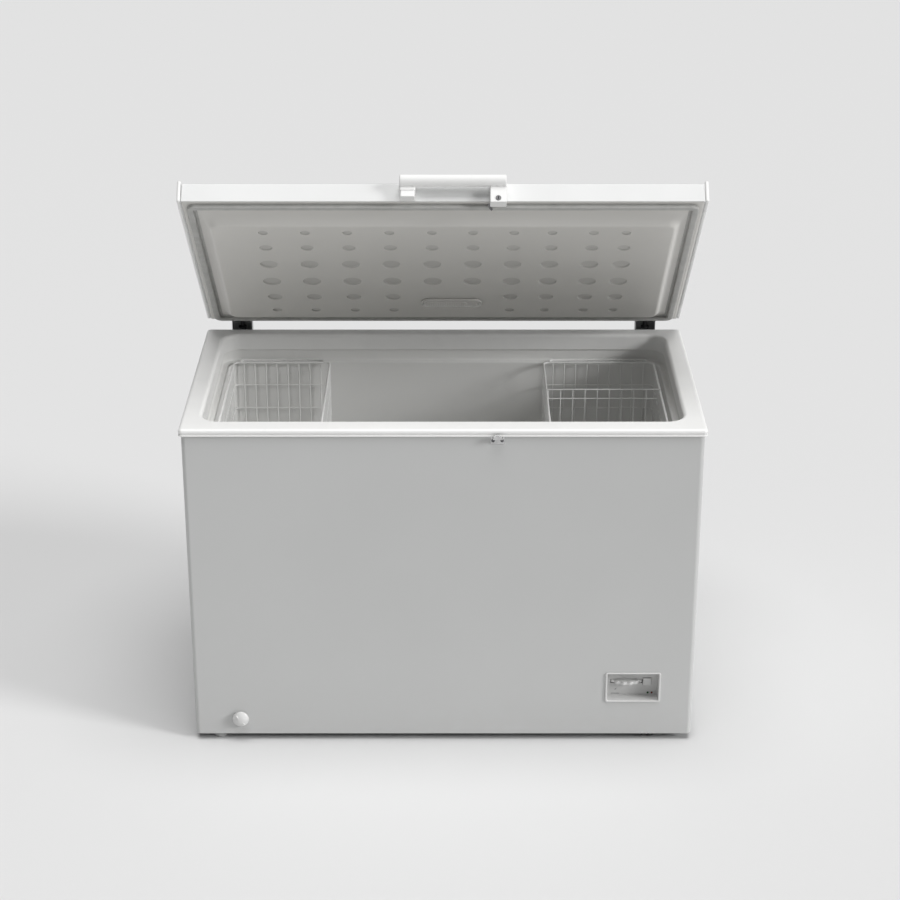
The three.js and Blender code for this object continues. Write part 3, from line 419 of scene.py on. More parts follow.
class Solid:
    """One piece's mesh while it is made, in millimetres."""

    def __init__(self):
        self.mesh = bmesh.new()

    def strip(self, loops, closed=False, open_ring=False):
        """Faces between neighbouring loops of points, which all hold the same number."""
        made = [[self.mesh.verts.new(point) for point in loop] for loop in loops]
        for lower, upper in zip(made, made[1:] + made[:1] if closed else made[1:]):
            for i in range(len(lower) - (1 if open_ring else 0)):
                j = (i + 1) % len(lower)
                self.mesh.faces.new((lower[i], lower[j], upper[j], upper[i]))
        return made

    def capped(self, loops):
        """The same, with both ends filled."""
        made = self.strip(loops)
        self.mesh.faces.new(made[0][::-1])
        self.mesh.faces.new(made[-1])
        return self

    def block(self, x0, x1, y0, y1, z0, z1, corner=0.5, edge=0.0, steps=4):
        """An upright block with round corners, and its top and bottom edges eased."""
        rect = ((x1 - x0) / 2, y0, y1, corner)
        profile = [(0, z0), (0, z1)]
        if edge:
            profile = arc(edge, z0 + edge, edge, -90, -180, 3) + arc(edge, z1 - edge, edge, 180, 90, 3)
        middle = (x0 + x1) / 2
        loops = [[(x + middle, y, z) for x, y, z in loop] for loop in rings(rect, profile, steps)]
        return self.capped(loops)

    def lathe(self, profile, steps=32):
        """A body turned about Z from (radius, height) points, which start and end on the axis."""
        loops = []
        for radius, height in profile:
            turns = [i * 2 * math.pi / steps for i in range(steps)]
            loops.append([(radius * math.cos(a), radius * math.sin(a), height) for a in turns])
        self.strip(loops)
        return self

    def place(self, *moves):
        """Moves the whole solid by each matrix in turn."""
        for move in moves:
            bmesh.ops.transform(self.mesh, matrix=move, verts=self.mesh.verts)
        return self

    def add(self, other):
        """Takes in the faces of another solid."""
        spare = bpy.data.meshes.new("spare")
        other.mesh.to_mesh(spare)
        self.mesh.from_mesh(spare)
        bpy.data.meshes.remove(spare)
        return self

    def tidy(self, outward=True):
        """Merges what coincides and turns the faces outwards."""
        bmesh.ops.remove_doubles(self.mesh, verts=self.mesh.verts, dist=0.002)
        bmesh.ops.dissolve_degenerate(self.mesh, edges=self.mesh.edges, dist=0.001)
        if outward:
            bmesh.ops.recalc_face_normals(self.mesh, faces=self.mesh.faces)
        return self

    def combined(self, operation, *others):
        """This solid cut by, or joined with, other closed solids."""
        target = scratch_object(self)
        tools = [scratch_object(other) for other in others]
        for tool in tools:
            modifier = target.modifiers.new("part", "BOOLEAN")
            modifier.operation, modifier.object, modifier.solver = operation, tool, "EXACT"
        result = baked(target)
        for thing in [target, *tools]:
            bpy.data.objects.remove(thing)
        made = Solid()
        made.mesh.from_mesh(result)
        bpy.data.meshes.remove(result)
        return made


def scratch_object(solid):
    """A closed solid as a short-lived object in the scene."""
    solid.tidy()
    mesh = bpy.data.meshes.new("scratch")
    solid.mesh.to_mesh(mesh)
    thing = bpy.data.objects.new("scratch", mesh)
    bpy.context.scene.collection.objects.link(thing)
    return thing


def baked(thing):
    """An object's mesh with its modifiers applied."""
    bpy.context.view_layer.update()
    evaluated = thing.evaluated_get(bpy.context.evaluated_depsgraph_get())
    return bpy.data.meshes.new_from_object(evaluated)


def rod(start, end, radius, steps=24):
    """A plain round bar between two points."""
    start, way = Vector(start), Vector(end) - Vector(start)
    solid = Solid().lathe([(0, 0), (radius, 0), (radius, way.length), (0, way.length)], steps)
    return solid.place(way.to_track_quat("Z", "Y").to_matrix().to_4x4(), Matrix.Translation(start))


def box(x0, x1, y0, y1, z0, z1):
    """A plain square-edged block, for cutting."""
    solid = Solid()
    bmesh.ops.create_cube(solid.mesh, size=1.0)
    size = Matrix.Diagonal((x1 - x0, y1 - y0, z1 - z0, 1.0))
    return solid.place(size, Matrix.Translation(((x0 + x1) / 2, (y0 + y1) / 2, (z0 + z1) / 2)))


TURN_FORWARD = Matrix.Rotation(math.radians(90), 4, "X")     # what pointed up now points to the front
TURN_BACKWARD = Matrix.Rotation(math.radians(-90), 4, "X")   # what pointed up now points to the rear


def moved(x, y, z):
    return Matrix.Translation((x, y, z))


def finish_piece(name, solid, material, body, nodes=(), place=CABINET_PLACE, ease=None, wall=None,
                 outward=True, sharp=35.0, broad=False):
    """Turns a solid, or a finished mesh, into a piece on its body, standing for those CAD nodes."""
    if isinstance(solid, Solid):
        solid.tidy(outward)
        mesh = bpy.data.meshes.new(name)
        solid.mesh.to_mesh(mesh)
        solid.mesh.free()
    else:
        mesh = solid
    mesh.transform(place)
    mesh.materials.clear()
    mesh.materials.append(MATERIALS[material])
    mesh.shade_smooth()
    mesh.set_sharp_from_angle(angle=math.radians(sharp))
    piece = bpy.data.objects.new(name, mesh)
    bpy.context.scene.collection.objects.link(piece)
    if wall:
        thick = piece.modifiers.new("wall", "SOLIDIFY")
        thick.thickness, thick.offset, thick.use_even_offset = wall * MM, -1.0, True
    if ease:
        round_off = piece.modifiers.new("ease", "BEVEL")
        round_off.width, round_off.segments, round_off.limit_method = ease * MM, 3, "ANGLE"
        round_off.angle_limit, round_off.harden_normals = math.radians(38), True
        round_off.use_clamp_overlap = True
    if broad:
        even = piece.modifiers.new("even", "WEIGHTED_NORMAL")
        even.mode, even.keep_sharp = "FACE_AREA", True
    if nodes:
        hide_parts(*nodes)
    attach(piece, body)
    return piece


def refined(name, node, material, body, ease=0.5):
    """A CAD node's own shape, merged, with its facets joined and its edges eased."""
    solid = Solid()
    solid.mesh.from_mesh(frame["nodes"][node].data)
    solid.place(Matrix.Scale(1 / MM, 4))
    bmesh.ops.remove_doubles(solid.mesh, verts=solid.mesh.verts, dist=0.003)
    bmesh.ops.dissolve_limit(
        solid.mesh, angle_limit=math.radians(0.5), verts=solid.mesh.verts, edges=solid.mesh.edges
    )
    return finish_piece(name, solid, material, body, (node,), Matrix.Scale(MM, 4), ease, sharp=30.0)


# ---- Geometry Nodes for what repeats --------------------------------------------------------


class Nodes:
    """A geometry node tree with named inputs, ended with its material."""

    def __init__(self, name, sizes):
        self.tree = bpy.data.node_groups.new(name, "GeometryNodeTree")
        self.tree.interface.new_socket("Geometry", in_out="INPUT", socket_type="NodeSocketGeometry")
        for label, kind in sizes:
            self.tree.interface.new_socket(label, in_out="INPUT", socket_type=kind)
        self.tree.interface.new_socket("Geometry", in_out="OUTPUT", socket_type="NodeSocketGeometry")
        self.given = self.tree.nodes.new("NodeGroupInput").outputs

    def node(self, kind, settings=None, **sockets):
        node = self.tree.nodes.new(kind)
        for name, value in (settings or {}).items():
            setattr(node, name, value)
        for label, value in sockets.items():
            socket = node.inputs[label.replace("_", " ")]
            if isinstance(value, bpy.types.NodeSocket):
                self.tree.links.new(value, socket)
            else:
                socket.default_value = value
        return node.outputs

    def end(self, geometry):
        real = self.node("GeometryNodeRealizeInstances", Geometry=geometry)["Geometry"]
        coloured = self.node("GeometryNodeSetMaterial", Geometry=real, Material=self.given["Material"])
        last = self.tree.nodes.new("NodeGroupOutput")
        self.tree.links.new(coloured["Geometry"], last.inputs["Geometry"])
        return self.tree


def wire_tree():
    """Round wire along every edge of the given mesh."""
    nodes = Nodes("Round wire", [("Radius", "NodeSocketFloat"), ("Sides", "NodeSocketInt"),
                                 ("Material", "NodeSocketMaterial")])
    line = nodes.node("GeometryNodeMeshToCurve", Mesh=nodes.given["Geometry"])["Curve"]
    ring = nodes.node("GeometryNodeCurvePrimitiveCircle", {"mode": "RADIUS"},
                      Resolution=nodes.given["Sides"], Radius=nodes.given["Radius"])["Curve"]
    tube = nodes.node("GeometryNodeCurveToMesh", Curve=line, Profile_Curve=ring, Fill_Caps=True)["Mesh"]
    return nodes.end(tube)


def scatter_tree():
    """One copy of a small part on every given point, with its top turned to the point's facing."""
    nodes = Nodes("Fastener", [("Part", "NodeSocketObject"), ("Size", "NodeSocketFloat"),
                               ("Material", "NodeSocketMaterial")])
    facing = nodes.node("GeometryNodeInputNamedAttribute", {"data_type": "FLOAT_VECTOR"}, Name="facing")
    turn = nodes.node("FunctionNodeAlignRotationToVector", {"axis": "Z"}, Vector=facing["Attribute"])
    part = nodes.node("GeometryNodeObjectInfo", Object=nodes.given["Part"])["Geometry"]
    copies = nodes.node("GeometryNodeInstanceOnPoints", Points=nodes.given["Geometry"], Instance=part,
                        Rotation=turn["Rotation"], Scale=nodes.given["Size"])["Instances"]
    return nodes.end(copies)


def grown(tree, mesh, material, **inputs):
    """The plain mesh that a tree makes of the given mesh."""
    holder = bpy.data.objects.new("holder", mesh)
    bpy.context.scene.collection.objects.link(holder)
    modifier = holder.modifiers.new("grow", "NODES")
    modifier.node_group = tree
    for item in tree.interface.items_tree:
        if item.in_out != "INPUT" or item.name == "Geometry":
            continue
        modifier[item.identifier] = MATERIALS[material] if item.name == "Material" else inputs[item.name]
    result = baked(holder)
    bpy.data.objects.remove(holder)
    bpy.data.meshes.remove(mesh)
    return result


def lines_mesh(paths):
    """A mesh of edges from (points, closed) pairs."""
    verts, edges = [], []
    for points, closed in paths:
        first = len(verts)
        verts += points
        edges += [(first + i, first + i + 1) for i in range(len(points) - 1)]
        if closed:
            edges.append((len(verts) - 1, first))
    mesh = bpy.data.meshes.new("lines")
    mesh.from_pydata(verts, edges, [])
    return mesh


def wires(paths, radius, sides=8):
    """Round wire along paths, as a solid to add to others."""
    tree = bpy.data.node_groups.get("Round wire") or wire_tree()
    mesh = grown(tree, lines_mesh(paths), "wire", Radius=radius, Sides=sides)
    solid = Solid()
    solid.mesh.from_mesh(mesh)
    bpy.data.meshes.remove(mesh)
    return solid


def scattered(points, part, size=1.0):
    """Copies of a part at ((x, y, z), (facing)) pairs, as one solid."""
    tree = bpy.data.node_groups.get("Fastener") or scatter_tree()
    mesh = bpy.data.meshes.new("points")
    mesh.from_pydata([place for place, _ in points], [], [])
    facing = mesh.attributes.new("facing", "FLOAT_VECTOR", "POINT")
    facing.data.foreach_set("vector", [value for _, way in points for value in way])
    pattern = scratch_object(part)
    grown_mesh = grown(tree, mesh, "zinc", Part=pattern, Size=size)
    bpy.data.objects.remove(pattern)
    solid = Solid()
    solid.mesh.from_mesh(grown_mesh)
    bpy.data.meshes.remove(grown_mesh)
    return solid


# ---- What a user may change -----------------------------------------------------------------


def colour_property(name, description, default):
    return bpy.props.FloatVectorProperty(
        name=name, description=description, subtype="COLOR", size=4, min=0.0, max=1.0, default=default
    )


def length_property(name, description, default):
    return bpy.props.FloatProperty(
        name=name, description=description, default=default, min=0.0, unit="LENGTH"
    )


class FreezerColours(bpy.types.PropertyGroup):
    # painted shade and light: the cabinet and the lid are one white enamel; the cabinet's copy is painted
    # darker for the shade on its upright faces, the lid's copy lighter
    enamel: colour_property("Enamel", "Outer steel of the cabinet", (0.595, 0.6, 0.595, 1.0))
    lid: colour_property("Lid enamel", "Outer steel of the lid", (0.73, 0.735, 0.73, 1.0))
    plastic: colour_property("Plastic", "Worktop trim, handle and knobs", (0.89, 0.89, 0.88, 1.0))
    # painted light and shade: the tub liner and the lid liner are one white; the tub's copy is painted
    # lighter for the light bounced into the tub, the lid's darker for the shade on its downward face
    liner: colour_property("Liner", "Inside of the tub", (0.84, 0.84, 0.825, 1.0))
    underside: colour_property("Underside", "Liner of the lid", (0.65, 0.64, 0.612, 1.0))
    seal: colour_property("Seal", "Lid gasket", (0.47, 0.47, 0.455, 1.0))


class FreezerSizes(bpy.types.PropertyGroup):
    wire_pitch: length_property("Wire pitch", "Distance between the baskets' wires", 0.027)
    wire_radius: length_property("Wire radius", "Half the thickness of a basket wire", 0.0013)
    rim_radius: length_property("Rim radius", "Half the thickness of a basket's rim", 0.0025)
    dimple_depth: length_property("Dimple depth", "How deep the lid liner's dimples are pressed", 0.0042)
    screw_size: bpy.props.FloatProperty(
        name="Screw size", description="Scale of the screw heads", default=1.0, min=0.1, max=2.0
    )


class FreezerStudio(bpy.types.PropertyGroup):
    lens: bpy.props.FloatProperty(
        name="Lens", description="Focal length of the camera", default=86.5, min=10.0, unit="CAMERA"
    )
    overhead: bpy.props.FloatProperty(
        name="Overhead light", description="Strength of the soft light from above", default=2.25
    )
    side: bpy.props.FloatProperty(
        name="Side light", description="Strength of the light from the right", default=1.75
    )
    fill: bpy.props.FloatProperty(
        name="Fill", description="Strength of the even light from all round", default=0.14
    )
    floor: colour_property("Floor", "Colour of the studio floor", (0.72, 0.72, 0.72, 1.0))


# ---- Operators: one for each piece or group of like pieces ----------------------------------


class FreezerStep(bpy.types.Operator):
    """A step that makes pieces from the sizes in the panel"""

    bl_options = {"REGISTER", "UNDO"}

    def execute(self, context):
        self.make(context.scene.freezer_sizes)
        return {"FINISHED"}


def front_cutter(x, y, z, width, height):
    """A square cutter that passes through an upright wall at that depth."""
    return box(x - width / 2, x + width / 2, y - 5, y + 5, z - height / 2, z + height / 2)


class FREEZER_OT_finishes(FreezerStep):
    """Make every material of the freezer"""

    bl_idname = "freezer.finishes"
    bl_label = "Finishes"

    def execute(self, context):
        make_materials(context.scene.freezer_colours)
        return {"FINISHED"}


class FREEZER_OT_cabinet(FreezerStep):
    """Fold the cabinet's steel skin, with its hem, control window and drain hole"""

    bl_idname = "freezer.cabinet"
    bl_label = "Cabinet skin"

    def make(self, sizes):
        corner, end = 10.0, REAR - 1.8

        def path(inset, z):
            half, front, radius = BODY_HALF - inset, FRONT + inset, corner - inset
            bend = arc(radius - half, front + radius, radius, 180, 270, 8)
            bend += arc(half - radius, front + radius, radius, 270, 360, 8)
            return [(x, y, z) for x, y in [(-half, end), *bend, (half, end)]]

        profile = [(0, BODY_HIGH), (0, BODY_LOW + FOLD + 8)]
        profile += arc(FOLD, BODY_LOW + FOLD, FOLD, 180, 360, 6)
        profile += [(2 * FOLD, BODY_LOW + 10), (SHEET, BODY_LOW + 11), (SHEET, BODY_HIGH)]
        skin = Solid()
        made = skin.strip([path(inset, z) for inset, z in profile], closed=True, open_ring=True)
        for end_index in (0, -1):
            skin.mesh.faces.new([loop[end_index] for loop in made])
        window = front_cutter(PANEL_X, FRONT, PANEL_Z, 118, 71)
        drain = rod((DRAIN[0], FRONT - 5, DRAIN[1]), (DRAIN[0], FRONT + 5, DRAIN[1]), 9.0)
        skin = skin.combined("DIFFERENCE", window, drain)
        finish_piece("cabinet_skin", skin, "enamel", "cabinet", ["outer_wrapper"],
                     broad=True)


class FREEZER_OT_worktop(FreezerStep):
    """Mould the worktop trim with its rolled lip, inner skirt and round mouth"""

    bl_idname = "freezer.worktop"
    bl_label = "Worktop trim"

    def make(self, sizes):
        lip, brow = 7.0, 8.0
        bead = [(3, TRIM_LOW), (0.7, TRIM_LOW), (0, TRIM_LOW + 0.7), (0, 740), (0.5, 740.7), (2, 741.6)]
        undercut = [(2, 742.2), (0.8, 745.4), (0.1, 746.4)]
        outer = [*bead, *undercut, *arc(lip, TRIM_TOP - lip, lip, 180, 90, 7), (lip + 2, TRIM_TOP)]
        inner = [(-brow - 2, TRIM_TOP), *arc(-brow, TRIM_TOP - brow, brow, 90, 0, 7), (0.2, SKIRT_LOW + 1),
                 (-0.6, SKIRT_LOW), (-2.4, SKIRT_LOW), (-3, SKIRT_LOW + 0.8), (-3, TRIM_TOP - 3)]
        trim = Solid()
        trim.strip(rings(TRIM, outer, 12) + rings(MOUTH, inner, 12) + rings(TRIM, [(3, TRIM_TOP - 3)], 12),
                   closed=True)
        finish_piece("worktop_trim", trim, "trim", "cabinet", ["top_trim"], broad=True)


class FREEZER_OT_tub(FreezerStep):
    """Form the tub with its basket ledge, raised floor and drain hole, and set the plug in it"""

    bl_idname = "freezer.tub"
    bl_label = "Tub"

    def make(self, sizes):
        fold, ease, brim, well_low = 14.0, 4.0, 748, 99
        low = arc(fold, TUB_FLOOR + fold, fold, -90, -180, 6) + arc(-ease, LEDGE - ease, ease, 0, 90, 4)
        high = arc(ease, LEDGE + ease, ease, -90, -180, 4) + [(0, brim)]
        hollow = Solid().capped(rings(TUB, low, 10) + rings(SLEEVE, high, 10))
        step = outline(STEP_X, 700, -100, STEP_TOP, 5, 6)
        step = Solid().capped([[(x, y, z) for x, z in step] for y in (-400, 400)])
        well = rod((DRAIN[0], DRAIN_WELL_Y, well_low), (DRAIN[0], DRAIN_WELL_Y, 110), 11.0)
        hollow = hollow.combined("DIFFERENCE", step).combined("UNION", well).tidy()
        ends = [face for face in hollow.mesh.faces
                if all(v.co.z > brim - 0.1 for v in face.verts)
                or all(v.co.z < well_low + 0.1 for v in face.verts)]
        bmesh.ops.delete(hollow.mesh, geom=ends, context="FACES_ONLY")
        bmesh.ops.reverse_faces(hollow.mesh, faces=hollow.mesh.faces)
        finish_piece("tub_liner", hollow, "liner", "cabinet", ["inner_liner"], wall=1.4,
                     outward=False, broad=True)
        stem = [(0, 92), (6.4, 92), (7, 92.8), (7.4, 102), (8, 103.2)]
        cap = [(15.4, 103.4), (16, 104.2), (15.8, 106), (14, 107), (6, 108.4), (4.2, 110)]
        pull = [(4, 114.5), (5, 116.5), (7, 118), (7.2, 120), (6, 121.7), (3, 122), (0, 122)]
        plug = Solid().lathe(stem + cap + pull, 36).place(moved(DRAIN[0], DRAIN_WELL_Y, 0))
        finish_piece("drain_stopper", plug, "handle", "drain_plug", ["drain_plug"])


class FREEZER_OT_back(FreezerStep):
    """Press the ribbed back sheet and mould the machine cover with its louvres and cable entry"""

    bl_idname = "freezer.back"
    bl_label = "Back"

    def make(self, sizes):
        sheet = Solid().block(-551, 551, REAR - SHEET, REAR, BODY_LOW + 1, BODY_HIGH, 0.3)
        left, right, low, high = BACK_DOOR
        sheet = sheet.combined("DIFFERENCE", box(left, right, REAR - 5, REAR + 5, low, high))
        ribs = [(0, z, width) for z, width in ((620, 800), (540, 800), (460, 1000), (380, 1000))]
        for x, z, width in ribs + [(-130, z, 740) for z in (280, 180, 90)]:
            rib = Solid().block(-width / 2, width / 2, -8, 8, 0, 1.9, 8, 1.2, 8)
            sheet.add(rib.place(TURN_BACKWARD, moved(x, REAR - GAP, z)))
        finish_piece("back_sheet", sheet, "galvanised", "cabinet", ["back_panel"], broad=True)
        middle, level, half, tall = COVER
        cover = Solid().block(-half, half, -tall, tall, 0, 2.4, 8, 0.8)
        cover.place(TURN_BACKWARD, moved(middle, REAR + GAP, level))
        rows = [101 + 24 * i for i in range(8)]
        cuts = [box(312, 528, REAR - 5, REAR + 8, z - 5, z + 5) for z in rows]
        gland = rod((GLAND[0], REAR - 5, GLAND[1]), (GLAND[0], REAR + 5, GLAND[1]), 9.0)
        cover = cover.combined("DIFFERENCE", *cuts, gland)
        slat = Solid().block(-109, 109, -5.6, 5.6, -0.7, 0.7, 0.6, 0.4, 2)
        slat.place(Matrix.Rotation(math.radians(-32), 4, "X"))
        cover.add(scattered([((middle, REAR + 1.7, z), (0, 1, 0)) for z in rows], slat))
        finish_piece("machine_cover", cover, "grey", "cabinet", ["compressor_cover"])
        flange = [(0, -6), (8.4, -6), (8.4, 0), (12.6, 0), (13, 0.5), (13, 2.6), (12, 3.6), (9.6, 4)]
        sleeve = [(8.6, 4.6), (8.6, 5.6), (7.6, 5.9), (7.6, 6.7), (8.2, 7), (8.2, 8), (7.2, 8.3)]
        mouth = [(7.2, 9.1), (6.6, 10), (4, 10), (3.6, 8), (0, 8)]
        gland = Solid().lathe(flange + sleeve + mouth, 32)
        gland.place(TURN_BACKWARD, moved(GLAND[0], REAR + 3, GLAND[1]))
        finish_piece("cable_entry", gland, "black", "cabinet", ["cord_gland"])


class FREEZER_OT_machinery(FreezerStep):
    """Finish the parts inside the walls and the machine bay"""

    bl_idname = "freezer.machinery"
    bl_label = "Machinery"

    def make(self, sizes):
        finishes = {
            "galvanised": ["base_plate", "compressor_tray", "compressor_bulkhead"],
            "foam": ["insulation_foam"],
            "aluminium": ["evaporator_coil"],
            "copper": ["condenser_coil", "filter_drier", "discharge_pipe", "suction_pipe"],
            "black": ["start_relay", "thermostat"],
            "board": ["lamp_board"],
            "handle": ["drain_pipe"],
        }
        for material, nodes in finishes.items():
            for node in nodes:
                mesh = frame["nodes"][node].data
                mesh.materials.clear()
                mesh.materials.append(MATERIALS[material])
        x, y, radius = COMPRESSOR
        bowl = [(0, 58), (40, 58), (56, 60), (67, 68), (73, 82), (75, 98), (75, 148)]
        seam = [(78, 149.5), (78, 154.5), (75, 156)]
        crown = [(75, 170), (73.5, 188), (68, 203), (57, 214), (40, 221), (20, 224.4), (0, 225)]
        shell = Solid().lathe(bowl + seam + crown, 64).place(moved(x, y, 0))
        shell.add(Solid().block(x - 95, x + 95, y - 62, y + 62, 54, 58.6, 20, 1))
        foot = [(0, 43.8), (9, 43.8), (9, 47), (7.5, 48), (9, 49), (9, 52.5), (7.5, 53.5), (7.5, 56), (0, 56)]
        for dx, dy in ((-80, -48), (-80, 48), (80, -48), (80, 48)):
            shell.add(Solid().lathe(foot, 24).place(moved(x + dx, y + dy, 0)))
        shell.add(rod((x - radius + 3, y, 120), (x - radius - 3, y, 120), 20))
        finish_piece("compressor_shell", shell, "black_enamel", "cabinet", ["compressor"])


class FREEZER_OT_controls(FreezerStep):
    """Mould the control recess with its frame, thermostat wheel, rocker and lamps"""

    bl_idname = "freezer.controls"
    bl_label = "Controls"

    def make(self, sizes):
        bezel = Solid()
        outer = [(0.6, 0), (0, 0.5), (0, 1.8), *arc(1, 1.8, 1, 180, 90, 3)]
        inner = [(-1.4, 2.8), (-0.4, 2.5), (0, 1.8), (0, 0)]
        bezel.strip(rings(PANEL_FRAME, outer) + rings(PANEL_MOUTH, inner), closed=True)
        bezel.place(TURN_FORWARD, moved(PANEL_X, FRONT - GAP, PANEL_Z))
        finish_piece("control_frame", bezel, "knob", "cabinet", ["control_bezel"])
        # the tray's plastic is painted darker, as painted shade inside the recess
        tray = self.tray()
        finish_piece("control_tray", tray, "panel", "cabinet", ["control_housing"], ease=0.25)
        x, y, z, radius = WHEEL
        grips, loops = 18, []
        for inset, height in [(1.6, -4), (0.6, -3.8), (0, -3.2), (0, 3.2), (0.6, 3.8), (1.6, 4)]:
            loop = []
            for i in range(grips * 8):
                angle = i * 2 * math.pi / (grips * 8)
                reach = radius - inset - 1.5 + 1.5 * math.cos(angle * grips)
                loop.append((reach * math.cos(angle), reach * math.sin(angle), height))
            loops.append(loop)
        wheel = Solid().capped(loops).combined("DIFFERENCE", rod((0, 0, -9), (0, 0, 9), 3.4))
        for i in range(7):
            turn = Matrix.Rotation(math.radians(i * 45 - 45), 4, "Z")
            wheel.add(box(33, 37.5, -0.5, 0.5, 3.9, 4.25).place(turn))
        finish_piece("thermostat_dial", wheel.place(moved(x, y, z)), "knob", "thermostat_wheel",
                     ["thermostat_wheel"], sharp=50)
        refined("freeze_rocker", "fast_freeze_switch", "knob", "fast_freeze_switch", 0.6)
        for name, node, lens_x, colour in [("power_lamp", "power_lens", ROCKER[0] + 2.5, "green"),
                                           ("alarm_lamp", "alarm_lens", ROCKER[0] + 11.5, "red")]:
            dome = [(0, 0), (2.3, 0), (2.3, 0.7), (2, 1.2), (1.3, 1.7), (0.6, 1.9), (0, 1.9)]
            lens = Solid().lathe(dome, 24)
            lens.place(TURN_FORWARD, moved(lens_x, FASCIA - GAP, LAMPS_Z))
            finish_piece(name, lens, colour, "cabinet", [node])
        marks = Solid()
        for x0, x1, z0, z1, turn in [(373, 391, 105.4, 106.6, 0), (380.5, 386, 116.6, 117.6, 52)]:
            mark = box((x0 - x1) / 2, (x1 - x0) / 2, -0.15, 0.15, (z0 - z1) / 2, (z1 - z0) / 2)
            mark.place(Matrix.Rotation(math.radians(-turn), 4, "Y"),
                       moved((x0 + x1) / 2, FASCIA - 0.12, (z0 + z1) / 2))
            marks.add(mark)
        finish_piece("panel_marks", marks, "marks", "cabinet")

    def tray(self):
        """The recess: a shallow box open to the front, slotted for the wheel and the rocker."""
        body = Solid().block(-58.5, 58.5, -35, 35, -2 - PANEL_DEPTH, -0.1, 2)
        taper = [(1.6, -PANEL_DEPTH), (0.8, 1 - PANEL_DEPTH), (0, 3)]
        hollow = Solid().capped(rings((*PANEL_MOUTH[:3], 3), taper))
        body = body.combined("DIFFERENCE", hollow).place(TURN_FORWARD, moved(PANEL_X, FRONT, PANEL_Z))
        wheel = box(WHEEL[0] - 36, WHEEL[0] + 36, FASCIA - 5, FASCIA + 5, WHEEL[2] - 5, WHEEL[2] + 5)
        x, z, width, height = ROCKER
        rocker = front_cutter(x, FASCIA, z, width + 1.2, height + 2.8)
        return body.combined("DIFFERENCE", wheel, rocker)


class FREEZER_OT_drain(FreezerStep):
    """Turn the drain's sliding spout and its knob"""

    bl_idname = "freezer.drain"
    bl_label = "Drain"

    def make(self, sizes):
        at = moved(DRAIN[0], FRONT - GAP, DRAIN[1])
        wall = [(5.6, -40), (7.4, -40), (8, -39.4), (8, -0.4), (7.6, 0), (5.6, 0), (5.6, -40)]
        spout = Solid().lathe(wall, 36)
        finish_piece("drain_tube", spout.place(TURN_FORWARD, at), "handle", "drain_spout", ["drain_spout"])
        stub = [(0, -12), (5, -12), (5.3, -11.4), (5.3, 0.3)]
        rim = [(12.5, 0.3), (15.5, 1.1), (17.3, 2.8), (18, 5), (18, 7.4), (17.2, 8.6), (15.4, 10.2)]
        dome = [(12.6, 12.2), (9.6, 13.9), (6, 15.1), (3, 15.45), (0, 15.5)]
        knob = Solid().lathe(stub + rim + dome, 48)
        fin = Solid().block(-14.5, 14.5, -1.8, 1.8, 5, 15.3, 1.7, 1.2, 4)
        knob = knob.combined("UNION", fin.place(Matrix.Rotation(math.radians(-50), 4, "Z")))
        finish_piece("drain_grip", knob.place(TURN_FORWARD, at), "knob", "drain_knob", ["drain_knob"])


class FREEZER_OT_feet(FreezerStep):
    """Turn the fixed feet on the left and the twin-wheel castors on the right"""

    bl_idname = "freezer.feet"
    bl_label = "Feet and castors"

    def make(self, sizes):
        sole = [(0, 0), (12.4, 0), (14.6, 0.5), (15.6, 1.8), (16, 4), (16, 7.6), (15.6, 9.2), (14.4, 10.8),
                (12.6, 12), (11.4, 13)]
        stem = [(11, 14.5), (11, 24), (10.4, 25), (10.4, 27), (11, 28), (11, 41.7), (0, 41.7)]
        x, swivel_y, trail, radius = CASTOR
        tread = [(0, 2.6), (12.6, 2.6), (13.4, 3.2), (14.4, 3.8), (15, 5), (15, 11.2), (14.4, 12.6)]
        tyre = tread + [(13.2, 13.4), (11.4, 13.6), (10.4, 13), (5, 12.6), (4.4, 13.8), (0, 14)]
        for end, way in (("front", -1), ("rear", 1)):
            foot = Solid().lathe(sole + stem, 40).place(moved(FOOT[0], way * FOOT[1], 0))
            finish_piece(f"{end}_levelling_foot", foot, "grey", "cabinet", [f"{end}_foot"])
            refined(f"{end}_castor_fork", f"{end}_castor_housing", "black", f"{end}_castor",
                    0.6)
            pair = Solid().lathe(tyre, 40)
            pair.add(Solid().lathe(tyre, 40).place(Matrix.Rotation(math.pi, 4, "X")))
            pair.add(rod((0, 0, -5), (0, 0, 5), 3.0))
            pair.place(Matrix.Rotation(math.radians(90), 4, "Y"), moved(x, way * swivel_y - trail, radius))
            finish_piece(f"{end}_castor_wheel_pair", pair, "tyre", f"{end}_wheels", [f"{end}_castor_wheels"])


class FREEZER_OT_hinges(FreezerStep):
    """Fit the hinge boxes with their pins, springs, plungers and lid arms, and the lock's catch"""

    bl_idname = "freezer.hinges"
    bl_label = "Hinges and catch"

    def make(self, sizes):
        low, high, coil, thickness, spring_y = 642.0, 752.0, 8.0, 1.4, PIN_Y - 3.5
        turns, steps = 9, 14
        for side, way in (("left", -1), ("right", 1)):
            refined(f"{side}_hinge_case", f"{side}_hinge_box", "hinge", "cabinet", 0.4)
            refined(f"{side}_pivot_pin", f"{side}_hinge_pin", "zinc", "cabinet", 0.5)
            refined(f"{side}_spring_plunger", f"{side}_hinge_plunger", "black", f"{side}_plunger",
                    0.4)
            refined(f"{side}_lid_arm", f"{side}_hinge_arm", "zinc", "lid", 0.3)
            points = []
            for i in range(turns * steps + 1):
                angle = i * 2 * math.pi / steps
                x, y = way * HINGE_X + coil * math.cos(angle), spring_y + coil * math.sin(angle)
                points.append((x, y, low + thickness + (high - low - 2 * thickness) * i / (turns * steps)))
            spring = finish_piece(f"{side}_coil_spring", wires([(points, False)], thickness, 10), "spring",
                                  "cabinet", [f"{side}_hinge_spring"])
            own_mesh(spring)
        refined("lid_catch", "lock_catch", "chrome", "cabinet", 0.35)


